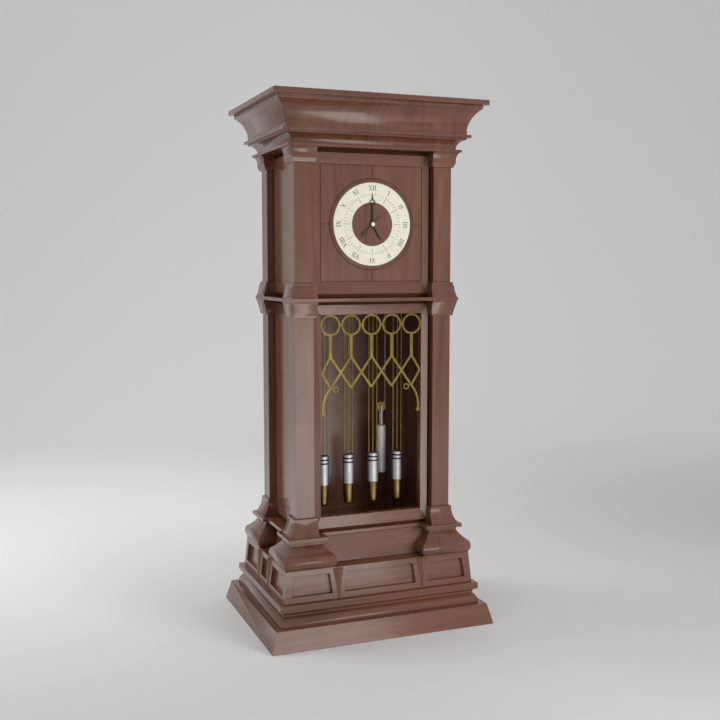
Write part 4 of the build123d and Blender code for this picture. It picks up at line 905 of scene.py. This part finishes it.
class HALLCLOCK_OT_string_lines(Operator):
    """Hangs the twisted lines of the weights"""

    bl_idname = "hall_clock.string_lines"
    bl_label = "String Lines"

    def execute(self, context):
        metal = context.scene.hall_clock_metal
        brass = metal_finish("Line Brass", metal.line_brass, tarnish=0.35, gloss=0.34)
        silver = metal_finish("Line Silver", metal.silver, tarnish=0.25, gloss=0.38, share=SILVER_SHARE)
        for number in WEIGHT_NUMBERS:
            self.string_weight(number, metal, brass)
        self.string_drive(metal, silver)
        return {"FINISHED"}

    def string_weight(self, number, metal, material):
        low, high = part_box(f"weight_lines_{number}")
        centre = (low + high) / 2
        radius = (high.y - low.y) / 2
        mesh = bmesh.new()
        for x in (low.x + radius, centre.x, high.x - radius):
            add_line(mesh, upright_stations(x, centre.y, low.z, high.z, metal.line_lay), radius, metal)
        piece = new_piece(f"weight_cords_{number}", mesh, material, "case")
        smooth(piece)
        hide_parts(f"weight_lines_{number}")
        hang(piece)

    def string_drive(self, metal, material):
        low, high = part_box("drive_line")
        sheave_low, sheave_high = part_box("sheave")
        centre = (sheave_low + sheave_high) / 2
        radius = (high.y - low.y) / 2
        reach = (high.x - low.x) / 2 - radius
        strands = bmesh.new()
        for x in (centre.x - reach, centre.x + reach):
            add_line(strands, upright_stations(x, centre.y, centre.z, high.z, metal.line_lay), radius, metal)
        piece = new_piece("drive_cord", strands, material, "case")
        smooth(piece)
        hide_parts("drive_line")
        hang(piece)
        bight = bmesh.new()
        add_line(bight, bight_stations(centre, reach, metal.line_lay), radius, metal)
        smooth(new_piece("drive_cord_bight", bight, material, "drive_group"))


# Sweep of the paper, as distances from the camera along its view, and the height of its wall
SWEEP_START = -7.0
SWEEP_BEND = 7.4
SWEEP_RADIUS = 3.0
SWEEP_TOP = 9.0
SWEEP_HALF = 30.0
SWEEP_STEPS = 16
# Painted shade on the paper, standing in for the fall-off of the light: darker to the right of the camera's
# axis and towards the camera, less on the wall
PAPER_PAINTED_SHADE_ACROSS = (-1.0, 2.6)
PAPER_PAINTED_SHADE_DEPTH = (5.2, 2.6)
PAPER_NEAR_SHARE = 0.6
PAPER_WALL_DEPTH = (8.0, 5.0)
PAPER_WALL_SHARE = 0.2
PAPER_ROUGHNESS = 0.9
PAPER_SPECULAR = 0.1
SENSOR_WIDTH = 36.0
# Lamps: name, setting of the power, place, point that it faces, width and height, and where it is not seen
LAMPS = (
    ("Key", "key_power", (2.5, -4.1, 1.8), (0.0, 0.0, 1.0), (2.2, 2.0), "visible_glossy"),
    ("Panel", "panel_power", (0.53, -3.25, 0.51), (0.44, -2.98, 1.47), (1.16, 3.80), "visible_diffuse"),
    ("Back lamp", "back_power", (-2.3, 1.5, 2.6), (-1.0, 1.3, 0.0), (1.6, 1.6), "visible_glossy"),
)


class HALLCLOCK_OT_set_stage(Operator):
    """Sets the paper sweep, the soft studio light and the camera"""

    bl_idname = "hall_clock.set_stage"
    bl_label = "Set Stage"

    def execute(self, context):
        stage = context.scene.hall_clock_stage
        context.scene.view_settings.view_transform = "Standard"
        self.set_camera(context, stage)
        self.lay_sweep(context, stage)
        self.light_world(context, stage)
        for name, setting, place, aim, size, hidden in LAMPS:
            lamp = self.add_lamp(context, name, getattr(stage, setting), place, aim, size)
            setattr(lamp, hidden, False)
        return {"FINISHED"}

    def set_camera(self, context, stage):
        data = bpy.data.cameras.new("Camera")
        data.lens = stage.lens
        data.sensor_width = SENSOR_WIDTH
        camera = bpy.data.objects.new("Camera", data)
        camera.location = stage.camera_place
        camera.rotation_euler = stage.camera_turn
        context.scene.collection.objects.link(camera)
        context.scene.camera = camera

    def lay_sweep(self, context, stage):
        line = [(SWEEP_START, 0.0), (SWEEP_BEND, 0.0)]
        for step in range(1, SWEEP_STEPS + 1):
            turn = pi / 2 * step / SWEEP_STEPS
            line.append((SWEEP_BEND + SWEEP_RADIUS * sin(turn), SWEEP_RADIUS * (1 - cos(turn))))
        line.append((SWEEP_BEND + SWEEP_RADIUS, SWEEP_TOP))
        mesh = bmesh.new()
        rows = [[mesh.verts.new((side * SWEEP_HALF, depth, z)) for side in (-1, 1)] for depth, z in line]
        for row, following in zip(rows, rows[1:]):
            mesh.faces.new((row[0], row[1], following[1], following[0]))
        data = bpy.data.meshes.new("Paper sweep")
        mesh.to_mesh(data)
        mesh.free()
        sweep = bpy.data.objects.new("Paper sweep", data)
        below_camera = Matrix.Translation((stage.camera_place[0], stage.camera_place[1], 0.0))
        sweep.matrix_world = below_camera @ Matrix.Rotation(stage.camera_turn[2], 4, "Z")
        smooth(sweep)
        data.materials.append(self.paper_finish(stage))
        context.scene.collection.objects.link(sweep)

    def paper_finish(self, stage):
        material, tree, shader = new_finish("Paper")
        across, depth, _ = tree.split(tree.position())
        # Painted shade on the paper: darker to the right of the camera's axis and towards the camera, less on
        # the wall
        right = tree.ramp(across, *PAPER_PAINTED_SHADE_ACROSS)
        near = tree.math("MULTIPLY", tree.ramp(depth, *PAPER_PAINTED_SHADE_DEPTH), PAPER_NEAR_SHARE)
        wall = tree.ramp(depth, *PAPER_WALL_DEPTH, PAPER_WALL_SHARE, 1.0)
        shade = tree.math("MULTIPLY", tree.math("MAXIMUM", right, near), wall)
        tree.feed(shader["Base Color"], tree.mix(shade, (*stage.paper_light, 1.0), (*stage.paper_painted_shade, 1.0)))
        shader["Roughness"].default_value = PAPER_ROUGHNESS
        shader["Specular IOR Level"].default_value = PAPER_SPECULAR
        return material

    def light_world(self, context, stage):
        world = bpy.data.worlds.new("Studio")
        world.use_nodes = True
        background = world.node_tree.nodes["Background"].inputs
        background["Color"].default_value = (*stage.sky_colour, 1.0)
        background["Strength"].default_value = stage.sky_strength
        context.scene.world = world

    def add_lamp(self, context, name, power, place, aim, size):
        """Area lamp of a given width and height that faces a point."""
        data = bpy.data.lights.new(name, "AREA")
        data.energy = power
        data.shape = "RECTANGLE"
        data.size, data.size_y = size
        lamp = bpy.data.objects.new(name, data)
        lamp.location = place
        lamp.rotation_euler = (Vector(aim) - Vector(place)).to_track_quat("-Z", "Y").to_euler()
        context.scene.collection.objects.link(lamp)
        return lamp


OPERATORS = (HALLCLOCK_OT_finish_case, HALLCLOCK_OT_finish_hidden_boards, HALLCLOCK_OT_finish_dial,
             HALLCLOCK_OT_mark_dial, HALLCLOCK_OT_finish_movement, HALLCLOCK_OT_finish_fret,
             HALLCLOCK_OT_finish_weights, HALLCLOCK_OT_string_lines, HALLCLOCK_OT_set_stage)
SETTINGS = {"hall_clock_wood": WoodSettings, "hall_clock_metal": MetalSettings,
            "hall_clock_dial": DialSettings, "hall_clock_stage": StageSettings}


class HALLCLOCK_PT_looks(Panel):
    """Lists the steps that finish the clock"""

    bl_idname = "HALLCLOCK_PT_looks"
    bl_label = "Hall Clock"
    bl_space_type = "VIEW_3D"
    bl_region_type = "UI"
    bl_category = "Hall Clock"

    def draw(self, context):
        for operator in OPERATORS:
            self.layout.operator(operator.bl_idname)


CLASSES = (*SETTINGS.values(), *OPERATORS, HALLCLOCK_PT_looks)


def register():
    for one in CLASSES:
        bpy.utils.register_class(one)
    for name, kind in SETTINGS.items():
        setattr(bpy.types.Scene, name, PointerProperty(type=kind))


def unregister():
    for name in SETTINGS:
        delattr(bpy.types.Scene, name)
    for one in reversed(CLASSES):
        bpy.utils.unregister_class(one)


def main():
    register()
    bpy.ops.hall_clock.finish_case()
    bpy.ops.hall_clock.finish_hidden_boards()
    bpy.ops.hall_clock.finish_dial()
    bpy.ops.hall_clock.mark_dial()
    bpy.ops.hall_clock.finish_movement()
    bpy.ops.hall_clock.finish_fret()
    bpy.ops.hall_clock.finish_weights()
    bpy.ops.hall_clock.string_lines()
    bpy.ops.hall_clock.set_stage()


if __name__ == "__main__":
    main()
